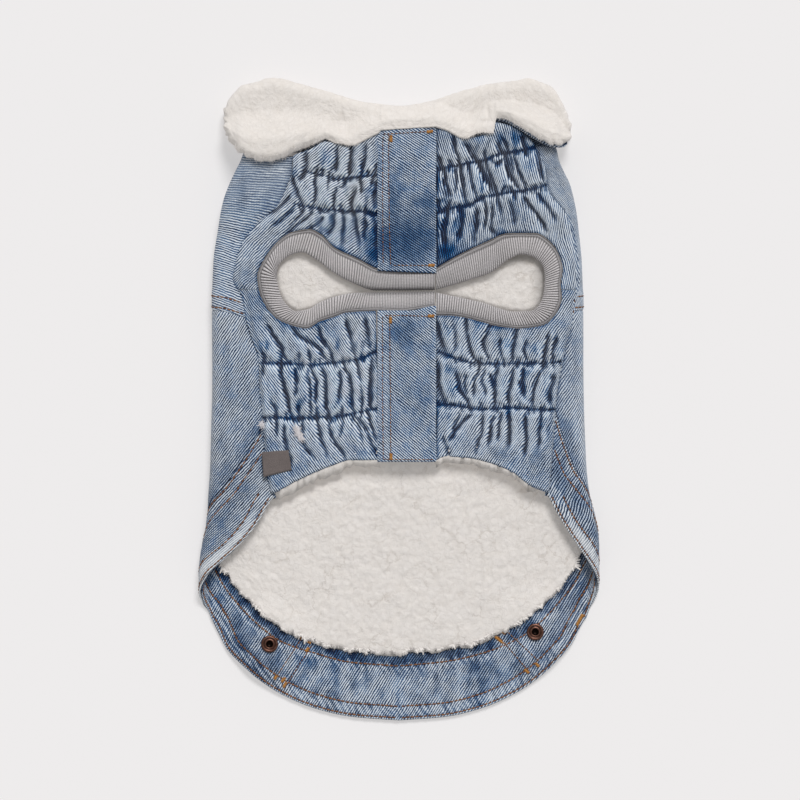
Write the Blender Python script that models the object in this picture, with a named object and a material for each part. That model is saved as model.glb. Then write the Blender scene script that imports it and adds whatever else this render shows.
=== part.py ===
"""A small dog's denim jacket laid flat: back down, belly side up, collar towards +Y.

The back and its sides are one flattened tube of denim with a sherpa lining. Two
elastic-gathered fronts close over a flat placket strip, and a ribbed band trims each
leg opening. All sizes below are in millimetres; meshes are written in metres.
"""

import math

import bmesh
import bpy
import numpy as np

# ---------------------------------------------------------------- driving sizes, mm
MM = 0.001
GAP = 0.3            # between neighbouring pieces
DENIM = 1.1          # one layer of denim
SHERPA = 3.5         # pile lining, pressed flat
FACING_DEPTH = 1.7   # from the denim's outer skin to the waistband's facing
LINING_DEPTH = 2.5   # from the denim's outer skin to the lining's backing
BODY_HEIGHT = 14.5   # height of the flattened tube over most of its length
NECK_HEIGHT = 18.8   # height of the tube where it lies on the collar's back leaf
LEAF_LIFT = 6.6      # how far the back is lifted by the collar leaf beneath it
LIFT_FROM, LIFT_TO = 100.0, 125.0   # Y over which that lift comes in
YOKE_NECK_Y = 149.0  # neck seam across the back
COLLAR_PILE = 4.6    # the collar's sherpa
COLLAR_LEAF = 45.0   # depth of the collar leaf under the back
COLLAR_ROLL = 0.4    # inner radius of the collar's roll
FRONT_SEAM = 1.5     # a front's upper skin over the tube's, along its seams
FRONT_CREST = 2.9    # and on the crest of its folds
RIB_THICK = 2.9
PLACKET_X0, PLACKET_X1 = -10.9, 22.0
PLACKET_THICK = 3.0
BUTTON_HEAD_R, BUTTON_HEAD_H = 7.5, 2.7
BUTTON_BACK_R, BUTTON_POST_R = 5.0, 1.5
BUTTON_LIFT = 3.1    # how far the waistband rides up over a button's head
HOLE_R = 1.9


def table(names, *rows):
    """A small table: its named columns, each as an array."""
    data = np.array(rows, float)
    return {name: data[:, i] for i, name in enumerate(names.split())}


# Half widths of the laid tube, a row for each section across the body.
WIDTHS = table(
    "y left right",
    (-200, 120.2, 120.5), (-105, 120.2, 120.5), (-96, 119.5, 120.5), (-87, 118.0, 120.4),
    (-78, 116.2, 119.6), (-69, 115.0, 117.8), (-60, 114.7, 115.4), (-42, 113.5, 113.0),
    (-24, 112.9, 112.1), (12, 112.0, 111.2), (57, 112.3, 110.9), (84, 111.4, 110.0),
    (102, 108.7, 108.2), (111, 107.2, 107.0), (120, 105.1, 105.2), (129, 101.8, 102.8),
    (138, 97.6, 98.6), (144, 94.6, 96.2), (150, 92.8, 95.0), (164, 90.0, 92.0),
)

# Distance of each side seam from the middle, a row for each section.
SIDE_SEAM = table(
    "y left right",
    (-58, 76.0, 90.0), (-45, 79.8, 91.8), (-26, 81.6, 93.2), (-6, 82.2, 94.2),
    (10, 84.2, 96.8), (24, 84.6, 99.2), (33, 88.0, 101.4), (44, 91.6, 104.0),
    (60, 94.0, 106.4), (72, 99.6, 108.4), (86, 97.6, 107.2), (96, 93.2, 105.8),
    (103, 89.6, 104.8), (110, 80.8, 102.2), (118, 70.8, 96.4), (126, 68.6, 91.0),
    (138, 64.4, 88.0), (146, 64.2, 84.6), (152, 62.6, 81.6),
)

# Lines round the tube. Column wrap runs from 0 at the middle of the back, over 1 to 2
# round the side fold, to 3 at the side seam on top. A row for each station.
WRAP_LINES = table(
    "wrap hem_l hem_r band_l band_r face_l face_r",
    (0.00, -193.3, -193.3, -159.1, -159.1, -153.3, -153.3),
    (0.25, -191.1, -191.1, -156.9, -156.3, -151.8, -150.9),
    (0.44, -186.3, -186.0, -151.5, -151.5, -147.0, -145.8),
    (0.62, -177.9, -177.0, -144.3, -143.1, -138.9, -136.5),
    (0.75, -168.3, -167.1, -133.5, -132.3, -126.3, -125.1),
    (0.84, -159.3, -157.5, -123.3, -121.5, -116.7, -115.5),
    (0.92, -149.7, -147.3, -111.9, -110.7, -104.7, -104.1),
    (1.00, -131.7, -131.1, -96.3, -93.9, -89.7, -87.3),
    (1.25, -123.3, -120.3, -79.5, -74.7, -73.5, -68.7),
    (1.50, -116.7, -111.9, -68.7, -60.3, -62.7, -54.3),
    (1.75, -110.1, -104.1, -61.5, -51.3, -55.5, -45.3),
    (2.00, -102.9, -96.3, -55.5, -42.3, -49.5, -36.3),
    (2.33, -91.5, -84.9, -42.9, -30.3, -36.9, -24.3),
    (2.67, -77.1, -71.7, -30.3, -18.9, -24.3, -12.9),
    (3.00, -59.0, -57.8, -17.7, -7.5, -12.3, -2.7),
)
YOKE_SEAM = table("wrap y", (0, 66.0), (1, 64.0), (1.5, 62.0), (2, 61.0), (3, 57.5))
YOKE_NECK = table(
    "wrap left right", (0, 149.0, 149.0), (1, 149.0, 149.5), (2, 149.0, 152.0), (3, 145.6, 152.0)
)

# Sections across each ribbed band, from the middle of the chest round the leg opening
# and back: outer edge and inner edge.
RIB_LEFT = table(
    "out_x out_y in_x in_y",
    (21.6, 77.7, 21.6, 65.7), (0.8, 76.8, 0.8, 65.4), (-11.2, 77.7, -13.6, 65.4),
    (-24.6, 84.0, -26.2, 69.3), (-38.8, 90.9, -38.8, 75.9), (-46.3, 98.4, -49.3, 83.7),
    (-53.8, 101.7, -58.0, 88.2), (-64.0, 99.9, -65.8, 86.1), (-72.4, 94.5, -72.2, 79.5),
    (-79.0, 86.1, -72.9, 75.6), (-84.4, 73.8, -73.0, 72.3), (-83.2, 65.1, -71.2, 63.9),
    (-79.0, 55.5, -67.0, 56.7), (-71.2, 47.7, -61.6, 53.1), (-55.6, 42.9, -53.8, 54.3),
    (-47.2, 47.1, -47.8, 57.9), (-38.8, 49.8, -38.8, 61.5), (-30.4, 52.5, -26.2, 63.9),
    (-13.6, 53.4, -13.6, 64.2), (0.8, 52.8, 0.8, 64.4), (21.6, 55.8, 21.6, 64.8),
)
RIB_RIGHT = table(
    "out_x out_y in_x in_y",
    (22.4, 78.3, 22.4, 65.9), (32.6, 84.3, 32.6, 68.7), (41.6, 89.1, 42.8, 71.7),
    (54.8, 95.1, 54.8, 75.9), (63.8, 99.0, 65.6, 83.7), (72.2, 99.3, 73.4, 87.0),
    (81.8, 99.3, 78.8, 86.1), (89.6, 95.1, 83.0, 83.7), (95.6, 87.3, 86.6, 79.5),
    (98.0, 77.7, 87.5, 73.5), (96.8, 69.3, 87.2, 67.5), (97.4, 60.9, 86.3, 61.5),
    (94.4, 52.5, 83.0, 55.5), (86.0, 44.7, 78.8, 53.1), (72.2, 42.9, 68.6, 52.8),
    (60.8, 44.1, 59.6, 54.9), (48.8, 47.1, 51.2, 57.9), (38.0, 49.8, 39.2, 60.6),
    (29.6, 50.7, 30.8, 62.4), (22.4, 50.7, 22.4, 64.2),
)

# Sections from the ribbed band out to a front's edge: neck, side seam, then belly hem.
# Column rib is the station along that side's rib table.
FRONT_LEFT = table(
    "rib edge_x edge_y",
    (2.00, -11.2, 160.8), (3.00, -22.0, 155.4), (4.00, -30.4, 151.5), (4.60, -38.2, 153.8),
    (5.10, -43.6, 154.5), (6.00, -53.2, 149.7), (6.60, -63.4, 145.2), (7.00, -63.9, 137.7),
    (7.50, -68.0, 125.0), (8.00, -73.0, 115.6), (8.50, -84.6, 105.6), (9.00, -92.8, 95.4),
    (9.50, -97.0, 84.9), (10.0, -99.3, 72.6), (11.0, -94.0, 62.0), (11.5, -92.2, 51.0),
    (12.0, -88.8, 38.4), (12.5, -83.9, 23.1), (13.0, -83.4, 6.3), (13.4, -81.7, -9.3),
    (13.8, -80.6, -30.3), (14.1, -76.0, -56.4), (14.5, -61.6, -49.5), (15.0, -49.6, -43.9),
    (16.0, -37.6, -39.3), (17.0, -28.0, -36.9), (18.0, -11.2, -36.9),
)
FRONT_RIGHT = table(
    "rib edge_x edge_y",
    (0.00, 22.3, 163.0), (0.60, 29.0, 162.0), (1.30, 36.0, 158.0), (2.00, 42.0, 157.0),
    (2.60, 52.8, 159.6), (3.00, 56.0, 166.0), (4.00, 66.0, 164.6), (5.00, 75.0, 159.6),
    (5.60, 81.8, 151.8), (6.00, 87.4, 139.2), (6.50, 89.6, 125.4), (7.00, 99.2, 112.5),
    (7.60, 104.4, 101.0), (8.10, 106.2, 91.5), (8.60, 107.8, 79.8), (9.00, 107.8, 69.0),
    (9.50, 105.6, 59.0), (10.2, 104.2, 46.0), (11.0, 100.6, 33.0), (11.6, 97.8, 18.9),
    (12.2, 95.2, 6.3), (12.7, 93.8, -10.0), (13.1, 92.0, -36.0), (13.6, 89.7, -56.0),
    (14.0, 77.6, -51.3), (15.0, 69.2, -44.7), (16.0, 54.8, -38.7), (17.0, 40.4, -35.5),
    (18.0, 28.0, -34.8), (19.0, 22.3, -37.2),
)

# The largest folds of the gathered fronts, a row each: two ends and a middle point.
FOLDS = table(
    "x0 y0 x1 y1 x2 y2 half_width depth",
    (-47.8, 141.3, -50.8, 122.7, -52.6, 108.3, 2.4, 2.4),
    (-28.6, 152.1, -31.0, 133.5, -38.4, 114.3, 2.4, 2.3),
    (-19.8, 149.7, -20.8, 138.6, -25.7, 126.9, 2.2, 1.8),
    (-25.7, 126.9, -27.8, 115.0, -24.0, 99.0, 2.4, 2.4),
    (-15.2, 134.5, -19.0, 122.0, -20.0, 99.0, 2.2, 1.6),
    (32.0, 158.7, 36.8, 140.7, 40.2, 120.9, 2.4, 2.2),
    (39.8, 151.8, 49.6, 135.9, 56.6, 123.0, 3.0, 2.6),
    (52.8, 136.0, 59.6, 122.0, 61.6, 112.0, 2.4, 2.2),
    (58.6, 152.7, 69.0, 130.9, 78.5, 117.0, 3.0, 2.6),
    (78.5, 117.0, 84.0, 108.9, 89.4, 101.0, 2.4, 1.8),
    (24.0, 145.0, 28.8, 130.0, 31.8, 121.0, 2.2, 1.6),
    (-77.8, 45.9, -70.3, 31.6, -65.2, 22.0, 2.4, 2.2),
    (-69.8, 19.0, -66.8, 1.8, -62.2, -13.1, 2.4, 2.4),
    (-59.4, 37.4, -49.0, 31.1, -41.6, 20.1, 2.4, 2.2),
    (-52.5, 20.1, -49.0, 4.0, -49.0, -14.3, 2.4, 2.2),
    (-43.3, 12.1, -43.3, -3.0, -41.0, -15.0, 2.2, 1.8),
    (-34.1, 25.3, -31.3, 11.0, -27.8, 1.8, 2.4, 2.2),
    (-27.8, 1.8, -26.1, -8.5, -16.9, -23.5, 2.4, 2.0),
    (40.3, 48.0, 43.0, 31.7, 51.3, 21.0, 2.4, 2.4),
    (55.9, 47.3, 51.3, 31.7, 53.9, 23.3, 2.2, 2.0),
    (70.9, 41.8, 69.0, 28.5, 68.2, 22.6, 2.2, 1.8),
    (48.9, 19.5, 45.5, 11.5, 44.8, 1.1, 2.6, 2.4),
    (60.4, 18.1, 57.8, 10.3, 57.2, -5.4, 2.2, 2.0),
    (69.5, 18.1, 67.0, 10.3, 67.0, -5.4, 2.2, 2.0),
    (84.5, 14.2, 81.2, 6.3, 80.0, -2.7, 2.2, 1.8),
    (44.1, -8.6, 37.7, -15.1, 29.8, -24.3, 2.4, 2.0),
    (67.0, -8.0, 67.0, -18.3, 65.6, -27.5, 2.2, 1.8),
)

# Rows of elastic stitching across the fronts, which pinch them.
ELASTIC = table(
    "x0 y0 x1 y1",
    (-56.0, 137.1, -11.2, 134.1), (-60.4, 116.1, -11.2, 110.1),
    (25.4, 137.1, 81.0, 150.9), (23.6, 111.9, 88.0, 128.7),
    (-83.8, 22.5, -11.2, 24.0), (-82.6, -10.5, -11.2, -5.1),
    (24.2, 28.5, 97.0, 21.9), (24.2, -3.0, 94.4, -5.7),
)

# The collar, a row for each section across the neck: where it meets the neckline, its
# roll, and how far its pile stands over the floor at the neckline and at the roll.
COLLAR = table(
    "x low_y roll_y low_z roll_z",
    (-104.6, 162.0, 176.5, 13.0, 6.2), (-99.5, 153.5, 183.5, 16.5, 6.4),
    (-94.0, 148.5, 188.6, 20.9, 6.6), (-85.0, 144.0, 190.8, 21.2, 6.8),
    (-77.0, 143.5, 193.2, 21.2, 6.8), (-69.0, 145.6, 192.4, 21.2, 6.8),
    (-62.0, 149.4, 190.2, 19.6, 6.6), (-53.0, 153.0, 187.8, 13.5, 6.4),
    (-44.0, 157.0, 185.2, 9.6, 6.2), (-36.0, 153.4, 182.8, 7.7, 6.0),
    (-24.0, 152.0, 179.4, 7.7, 6.0), (-12.0, 150.4, 177.4, 7.7, 6.0),
    (0.0, 150.4, 176.2, 7.7, 6.0), (12.0, 150.4, 177.6, 7.7, 6.0),
    (22.0, 150.4, 180.0, 7.7, 6.0), (34.0, 153.0, 184.0, 7.7, 6.0),
    (46.0, 160.0, 187.4, 7.8, 6.2), (54.0, 168.4, 189.4, 13.0, 6.4),
    (62.0, 168.4, 190.6, 19.0, 6.6), (70.0, 164.6, 191.4, 22.4, 6.8),
    (78.0, 159.6, 192.8, 22.6, 6.8), (86.0, 155.0, 190.4, 22.4, 6.8),
    (93.0, 152.6, 186.6, 21.2, 6.6), (98.5, 153.0, 177.6, 16.0, 6.4),
    (103.2, 157.5, 167.5, 11.5, 6.2),
)

# The ribbed band's own section: share of its width from the outer edge, and height.
RIB_SECTION = (
    (0, -0.6), (0.4, 0.5), (0.85, 0.0), (1.0, -1.3), (0.85, 0.4 - RIB_THICK), (0.04, 0.4 - RIB_THICK),
)

BUTTONS = table("x y", (-77.6, -147.0), (82.1, -139.7))
LABEL = table("x y", (-82.0, -31.5), (-66.0, -30.3), (-64.0, -42.3), (-81.0, -46.5))

# Stations of each front's two side corners, at the neck and at the belly hem.
LINING_ENDS = {"front_lining_left": (6.6, 14.15), "front_lining_right": (5.6, 13.65)}

WRAP_STATIONS = (0, .2, .4, .56, .69, .8, .9, 1.0, 1.25, 1.5, 1.75, 2.0, 2.33, 2.67, 3.0)
LINING_STATIONS = (0, .4, .56, .69, .8, .9, 1.0, 1.25, 1.5, 1.75, 2.0, 2.33, 2.8)
LOWER_ROWS = (0, .04, .1, .2, .4, .65, 1.0)
LINING_ROWS = (0, .04, .1, .2, .45, .68, .8, .86, .92, 1.0)
YOKE_STATIONS = (0, .5, 1.0, 1.25, 1.5, 1.75, 2.0, 2.5, 3.0)


# ---------------------------------------------------------------- curves
def smooth_curve(knots, values):
    """A smooth curve through a table's rows that never overshoots them."""
    x, y = np.array(knots, float), np.array(values, float)
    h = np.diff(x)
    d = np.diff(y) / h
    m = np.zeros_like(y)
    m[0], m[-1] = d[0], d[-1]
    for i in range(1, len(x) - 1):
        if d[i - 1] * d[i] > 0:
            a, b = 2 * h[i] + h[i - 1], h[i] + 2 * h[i - 1]
            m[i] = (a + b) / (a / d[i - 1] + b / d[i])

    def at(t):
        t = np.clip(np.asarray(t, float), x[0], x[-1])
        i = np.clip(np.searchsorted(x, t) - 1, 0, len(h) - 1)
        u = (t - x[i]) / h[i]
        return (
            y[i] * (1 + 2 * u) * (1 - u) ** 2
            + m[i] * h[i] * u * (1 - u) ** 2
            + y[i + 1] * u * u * (3 - 2 * u)
            + m[i + 1] * h[i] * u * u * (u - 1)
        )

    return at


def column(data, key, name):
    return smooth_curve(data[key], data[name])


def ease(t):
    t = np.clip(t, 0.0, 1.0)
    return t * t * (3 - 2 * t)


half_width = {-1: column(WIDTHS, "y", "left"), 1: column(WIDTHS, "y", "right")}
seam_x = {-1: column(SIDE_SEAM, "y", "left"), 1: column(SIDE_SEAM, "y", "right")}
wrap_line = {
    (line, side): column(WRAP_LINES, "wrap", line + end)
    for line in ("hem", "band", "face")
    for side, end in ((-1, "_l"), (1, "_r"))
}
yoke_seam = column(YOKE_SEAM, "wrap", "y")
yoke_neck = {-1: column(YOKE_NECK, "wrap", "left"), 1: column(YOKE_NECK, "wrap", "right")}


def lift(y):
    """Height of the back's underside, over the collar leaf near the neck."""
    return LEAF_LIFT * ease((y - LIFT_FROM) / (LIFT_TO - LIFT_FROM))


def top(y):
    """Height of the laid tube's upper skin."""
    return BODY_HEIGHT + (NECK_HEIGHT - BODY_HEIGHT) * ease((y - LIFT_FROM + 8) / 30.0)


def button_lift(x, y):
    """How far the waistband rides up where a button's head lies under it."""
    rise = 0.0
    for bx, by in zip(BUTTONS["x"], BUTTONS["y"]):
        rise = max(rise, BUTTON_LIFT * float(ease((32.0 - math.hypot(x - bx, y - by)) / 18.0)))
    return rise


def tube_point(wrap, y, depth):
    """A point of the laid tube, at a depth under its outer skin."""
    side, a = (-1 if wrap < 0 else 1), abs(wrap)
    low, high = float(lift(y)), float(top(y))
    r = (high - low) / 2
    x0 = float(half_width[side](y)) - r
    if a <= 1:
        x, z = a * x0, low + depth
        z += button_lift(side * x, y) * ease((1.0 - a) / 0.2)
    elif a <= 2:
        turn = (a - 1) * math.pi
        x, z = x0 + (r - depth) * math.sin(turn), low + r - (r - depth) * math.cos(turn)
    else:
        x, z = x0 + (a - 2) * (float(seam_x[side](y)) - x0), high - depth
    return side * x, y, z


# ---------------------------------------------------------------- solids
def add_object(name, verts, faces, colour, roughness, metallic=0.0, smooth_angle=35.0):
    mesh = bpy.data.meshes.new(name)
    mesh.from_pydata([tuple(c * MM for c in v) for v in verts], [], faces)
    bm = bmesh.new()
    bm.from_mesh(mesh)
    if bm.calc_volume(signed=True) < 0:
        bmesh.ops.reverse_faces(bm, faces=bm.faces)
    bmesh.ops.triangulate(bm, faces=bm.faces)
    bm.to_mesh(mesh)
    bm.free()
    mesh.shade_smooth()
    mesh.set_sharp_from_angle(angle=math.radians(smooth_angle))
    obj = bpy.data.objects.new(name, mesh)
    bpy.context.collection.objects.link(obj)
    material = bpy.data.materials.new(name)
    material.use_nodes = True
    shader = material.node_tree.nodes["Principled BSDF"]
    shader.inputs["Base Color"].default_value = (*colour, 1.0)
    shader.inputs["Roughness"].default_value = roughness
    shader.inputs["Metallic"].default_value = metallic
    mesh.materials.append(material)
    return obj


def wall(name, outer, inner, colour, roughness):
    """A closed wall between two matching grids of points."""
    rows, cols = len(outer), len(outer[0])
    verts = [tuple(p) for row in outer for p in row] + [tuple(p) for row in inner for p in row]
    half = rows * cols

    def at(i, j, skin):
        return skin * half + i * cols + j

    faces = []
    for i in range(rows - 1):
        for j in range(cols - 1):
            faces.append((at(i, j, 0), at(i + 1, j, 0), at(i + 1, j + 1, 0), at(i, j + 1, 0)))
            faces.append((at(i, j, 1), at(i, j + 1, 1), at(i + 1, j + 1, 1), at(i + 1, j, 1)))
    for i in range(rows - 1):
        faces.append((at(i, 0, 0), at(i, 0, 1), at(i + 1, 0, 1), at(i + 1, 0, 0)))
        faces.append((at(i, cols - 1, 0), at(i + 1, cols - 1, 0), at(i + 1, cols - 1, 1), at(i, cols - 1, 1)))
    for j in range(cols - 1):
        faces.append((at(0, j, 0), at(0, j + 1, 0), at(0, j + 1, 1), at(0, j, 1)))
        faces.append((at(rows - 1, j, 0), at(rows - 1, j, 1), at(rows - 1, j + 1, 1), at(rows - 1, j + 1, 0)))
    return add_object(name, verts, faces, colour, roughness)


def loft(name, sections, colour, roughness):
    """A closed solid through closed sections of equal length, its ends filled."""
    n, count = len(sections), len(sections[0])
    verts = [tuple(p) for section in sections for p in section]
    faces = []
    for i in range(n - 1):
        for j in range(count):
            k = (j + 1) % count
            faces.append((i * count + j, (i + 1) * count + j, (i + 1) * count + k, i * count + k))
    faces.append(tuple(range(count)))
    faces.append(tuple(reversed(range((n - 1) * count, n * count))))
    return add_object(name, verts, faces, colour, roughness)


def turned(name, profile, centre, steps, colour, roughness, metallic):
    """A round solid from (radius, height) rows, both ends on its axis."""
    cx, cy = centre
    verts, rings = [], []
    for r, z in profile:
        if r == 0:
            rings.append([len(verts)] * steps)
            verts.append((cx, cy, z))
        else:
            rings.append(list(range(len(verts), len(verts) + steps)))
            verts += [
                (cx + r * math.cos(2 * math.pi * k / steps), cy + r * math.sin(2 * math.pi * k / steps), z)
                for k in range(steps)
            ]
    faces = []
    for a, b in zip(rings, rings[1:]):
        for k in range(steps):
            n = (k + 1) % steps
            face = [a[k], a[n], b[n], b[k]]
            faces.append(tuple(dict.fromkeys(face)))
    return add_object(name, verts, faces, colour, roughness, metallic)


def even(count):
    return [t / count for t in range(count + 1)]


def tube_piece(name, stations, low_line, high_line, rows, depth0, depth1, colour, roughness):
    """A panel of the laid tube between two lines round it, with rows at these shares."""
    wraps = [-s for s in reversed(stations) if s > 0] + list(stations)
    outer, inner = [], []
    for wrap in wraps:
        side = -1 if wrap < 0 else 1
        y0, y1 = float(low_line(side, abs(wrap))), float(high_line(side, abs(wrap)))
        ys = [y0 + (y1 - y0) * t for t in rows]
        outer.append([tube_point(wrap, y, depth0) for y in ys])
        inner.append([tube_point(wrap, y, depth1) for y in ys])
    return wall(name, outer, inner, colour, roughness)


def line(name, shift=0.0):
    return lambda side, a: float(wrap_line[name, side](a)) + shift


# ---------------------------------------------------------------- the fronts' surface
def segment(x, y, ax, ay, bx, by):
    """Distance to a segment, and how far along it."""
    dx, dy = bx - ax, by - ay
    t = np.clip(((x - ax) * dx + (y - ay) * dy) / (dx * dx + dy * dy), 0, 1)
    return np.hypot(x - ax - t * dx, y - ay - t * dy), t


def front_height(x, y):
    """Upper skin of a gathered front: a soft swell, less its folds and its stitched rows."""
    z = top(y) + FRONT_CREST
    cut = 0.0
    for k in range(len(FOLDS["x0"])):
        f = {name: FOLDS[name][k] for name in FOLDS}
        d0, t0 = segment(x, y, f["x0"], f["y0"], f["x1"], f["y1"])
        d1, t1 = segment(x, y, f["x1"], f["y1"], f["x2"], f["y2"])
        d, t = (d0, t0 / 2) if d0 < d1 else (d1, 0.5 + t1 / 2)
        fade = 0.45 + 0.55 * math.sin(math.pi * t)
        cut = max(cut, f["depth"] * fade * math.exp(-((d / f["half_width"]) ** 2)))
    for k in range(len(ELASTIC["x0"])):
        d, _ = segment(x, y, *(ELASTIC[name][k] for name in ("x0", "y0", "x1", "y1")))
        cut = max(cut, 0.9 * math.exp(-((d / 2.2) ** 2)))
    return z - cut


def rib_curves(data):
    station = np.arange(len(data["out_x"]))
    return {name: smooth_curve(station, data[name]) for name in data}


def front_section(rib, front, u, v, clear):
    """A point of a front in plan: v runs from the ribbed band to the front's edge."""
    ox, oy, ix, iy = (float(rib[n](u)) for n in ("out_x", "out_y", "in_x", "in_y"))
    n = math.hypot(ox - ix, oy - iy)
    rx, ry = ox + clear * (ox - ix) / n, oy + clear * (oy - iy) / n
    return rx + (float(front["edge_x"](u)) - rx) * v, ry + (float(front["edge_y"](u)) - ry) * v


def front_grid(rib_table, front_table, steps_u, steps_v, clear, ends=None):
    """Points of a front in plan, a row for each section. ends holds the stations of its
    two lower corners, for a lining that stops short of the seam and shows at the hem."""
    rib = rib_curves(rib_table)
    front = {n: smooth_curve(front_table["rib"], front_table[n]) for n in ("edge_x", "edge_y")}
    # Columns are spread evenly along the outer edge and the ribbed edge together.
    fine = np.linspace(front_table["rib"][0], front_table["rib"][-1], 400)
    out = np.array([front_section(rib, front, u, 1.0, clear) for u in fine])
    near = np.array([front_section(rib, front, u, 0.0, clear) for u in fine])
    run = np.hypot(*np.diff(out, axis=0).T) + 0.6 * np.hypot(*np.diff(near, axis=0).T)
    run = np.concatenate([[0], np.cumsum(run)])
    us = np.interp(np.linspace(0, run[-1], steps_u + 1), run, fine)
    grid = []
    for u in us:
        reach = 1.0
        if ends:
            neck, hem = ends
            inset = 1.0 + 2.5 * float(ease((u - neck + 0.5) / 0.5)) - 5.5 * float(ease((u - hem) / 0.3))
            reach = 1.0 - inset / math.dist(front_section(rib, front, u, 0.0, clear), front_section(rib, front, u, 1.0, clear))
        grid.append([front_section(rib, front, u, reach * j / steps_v, clear) for j in range(steps_v + 1)])
    return grid


def make_front(name, rib_table, front_table, colour):
    grid = front_grid(rib_table, front_table, 46, 7, 0.45)
    outer, inner = [], []
    for row in grid:
        last = len(row) - 1
        # the edges turn down to their seams
        up = [
            (x, y, float(top(y)) + FRONT_SEAM if j in (0, last) else front_height(x, y))
            for j, (x, y) in enumerate(row)
        ]
        outer.append(up)
        inner.append([(x, y, z - DENIM) for x, y, z in up])
    return wall(name, outer, inner, colour, 0.85)


def make_front_lining(name, rib_table, front_table, colour):
    grid = front_grid(rib_table, front_table, 30, 2, 0.8, LINING_ENDS[name])
    outer, inner = [], []
    for row in grid:
        high = [(x, y, float(top(y)) + FRONT_CREST - 2.7 - DENIM - 0.95) for x, y in row]
        outer.append(high)
        inner.append([(x, y, z - 3.2) for x, y, z in high])
    return wall(name, outer, inner, colour, 0.95)


def make_rib(name, data, colour):
    """A ribbed band: a rounded section carried round the leg opening."""
    curves = rib_curves(data)
    sections = []
    for u in np.linspace(0, len(data["out_x"]) - 1, 41):
        ox, oy, ix, iy = (float(curves[n](u)) for n in ("out_x", "out_y", "in_x", "in_y"))
        ring = []
        for v, up in RIB_SECTION:
            x, y = ox + (ix - ox) * v, oy + (iy - oy) * v
            ring.append((x, y, float(top(y)) + FRONT_SEAM + up))
        sections.append(ring)
    return loft(name, sections, colour, 0.95)


def make_placket(name, y_low, y_high, colour):
    """A flat folded strip of denim over the fronts' meeting edges."""
    outer, inner = [], []
    xs = np.linspace(PLACKET_X0, PLACKET_X1, 5)
    for x in xs:
        side = abs((x - xs[0]) / (xs[-1] - xs[0]) * 2 - 1)
        ys = np.linspace(y_low, y_high(x), 7)
        up = [(x, y, float(top(y)) + 3.3 - 0.5 * side ** 3) for y in ys]
        outer.append(up)
        inner.append([(x, y, z - PLACKET_THICK) for x, y, z in up])
    return wall(name, outer, inner, colour, 0.85)


def collar_path(x, row, depth):
    """Half of the collar's section, along its sherpa skin at a depth: from the neckline
    over the roll and back under the neck, as (y, z) points."""
    low_y, roll_y, low_z, roll_z = row
    r = COLLAR_ROLL + COLLAR_PILE + DENIM + GAP   # outer radius of the roll
    r = min(r, 0.45 * (roll_y - low_y) + 2.5)
    pts = []
    hi = low_z + COLLAR_PILE
    centre_y, centre_z = roll_y - r, r
    for t in (0.0, 0.25, 0.55, 1.0):
        y = low_y + (centre_y - low_y) * t
        z = hi + (2 * r - hi) * ease((t - 0.22) / 0.52)
        pts.append((y, z - depth))
    for k in range(1, 4):
        turn = math.pi * k / 4
        pts.append((centre_y + (r - depth) * math.sin(turn), centre_z + (r - depth) * math.cos(turn)))
    back = centre_y - (COLLAR_LEAF - r) * min(1.0, (roll_y - low_y) / 26.0)
    # towards its points the leaf beneath matches the leaf on top
    back += (max(back, low_y) - back) * float(ease((abs(x) - 78.0) / 16.0))
    for t in (0.0, 1.0):
        pts.append((centre_y + (back - centre_y) * t, depth))
    return pts


def make_collar(name, depth0, depth1, colour, roughness, short):
    """The collar's sherpa, or the denim under it, which stops short of the ends."""
    xs = np.linspace(COLLAR["x"][0], COLLAR["x"][-1], 27)
    curves = {n: column(COLLAR, "x", n) for n in ("low_y", "roll_y", "low_z", "roll_z")}
    outer, inner = [], []
    for x in xs[short : len(xs) - short]:
        row = [float(curves[n](x)) for n in ("low_y", "roll_y", "low_z", "roll_z")]
        outer.append([(x, y, z) for y, z in collar_path(x, row, depth0)])
        inner.append([(x, y, z) for y, z in collar_path(x, row, depth1)])
    return wall(name, outer, inner, colour, roughness)


def make_button(name, x, y, colour):
    band_top = BUTTON_LIFT + FACING_DEPTH + 1.0
    back = band_top + GAP
    profile = (
        (0, 0.0), (5.6, 0.0), (BUTTON_HEAD_R, 0.9), (BUTTON_HEAD_R, 1.9), (6.6, BUTTON_HEAD_H),
        (BUTTON_POST_R, BUTTON_HEAD_H), (BUTTON_POST_R, back), (BUTTON_BACK_R, back),
        (BUTTON_BACK_R, back + 0.8), (4.3, back + 1.5), (3.3, back + 1.5), (2.6, back + 0.5), (0, back + 0.5),
    )
    return turned(name, profile, (x, y), 14, colour, 0.4, 1.0)


def cut_hole(obj, name, x, y):
    profile = ((0, -5.0), (HOLE_R, -5.0), (HOLE_R, 15.0), (0, 15.0))
    cutter = turned(name, profile, (x, y), 10, (0.5, 0.5, 0.5), 0.5, 0.0)
    cutter.hide_render = True
    cutter.display_type = "WIRE"
    modifier = obj.modifiers.new(name, "BOOLEAN")
    modifier.operation = "DIFFERENCE"
    modifier.solver = "EXACT"
    modifier.object = cutter
    return cutter


def make_label(name, colour):
    """A small woven tag that lies on the left front, from that front's points moved out."""
    corner = [(LABEL["x"][k], LABEL["y"][k]) for k in range(4)]
    outer, inner = [], []
    for i in range(4):
        a, row_up, row_dn = i / 3, [], []
        for j in range(4):
            b = j / 3
            x = (1 - a) * ((1 - b) * corner[0][0] + b * corner[3][0]) + a * ((1 - b) * corner[1][0] + b * corner[2][0])
            y = (1 - a) * ((1 - b) * corner[0][1] + b * corner[3][1]) + a * ((1 - b) * corner[1][1] + b * corner[2][1])
            z = float(top(y)) + FRONT_CREST + GAP
            row_dn.append((x, y, z))
            row_up.append((x, y, z + 0.9))
        outer.append(row_up)
        inner.append(row_dn)
    return wall(name, outer, inner, colour, 0.8)


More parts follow.
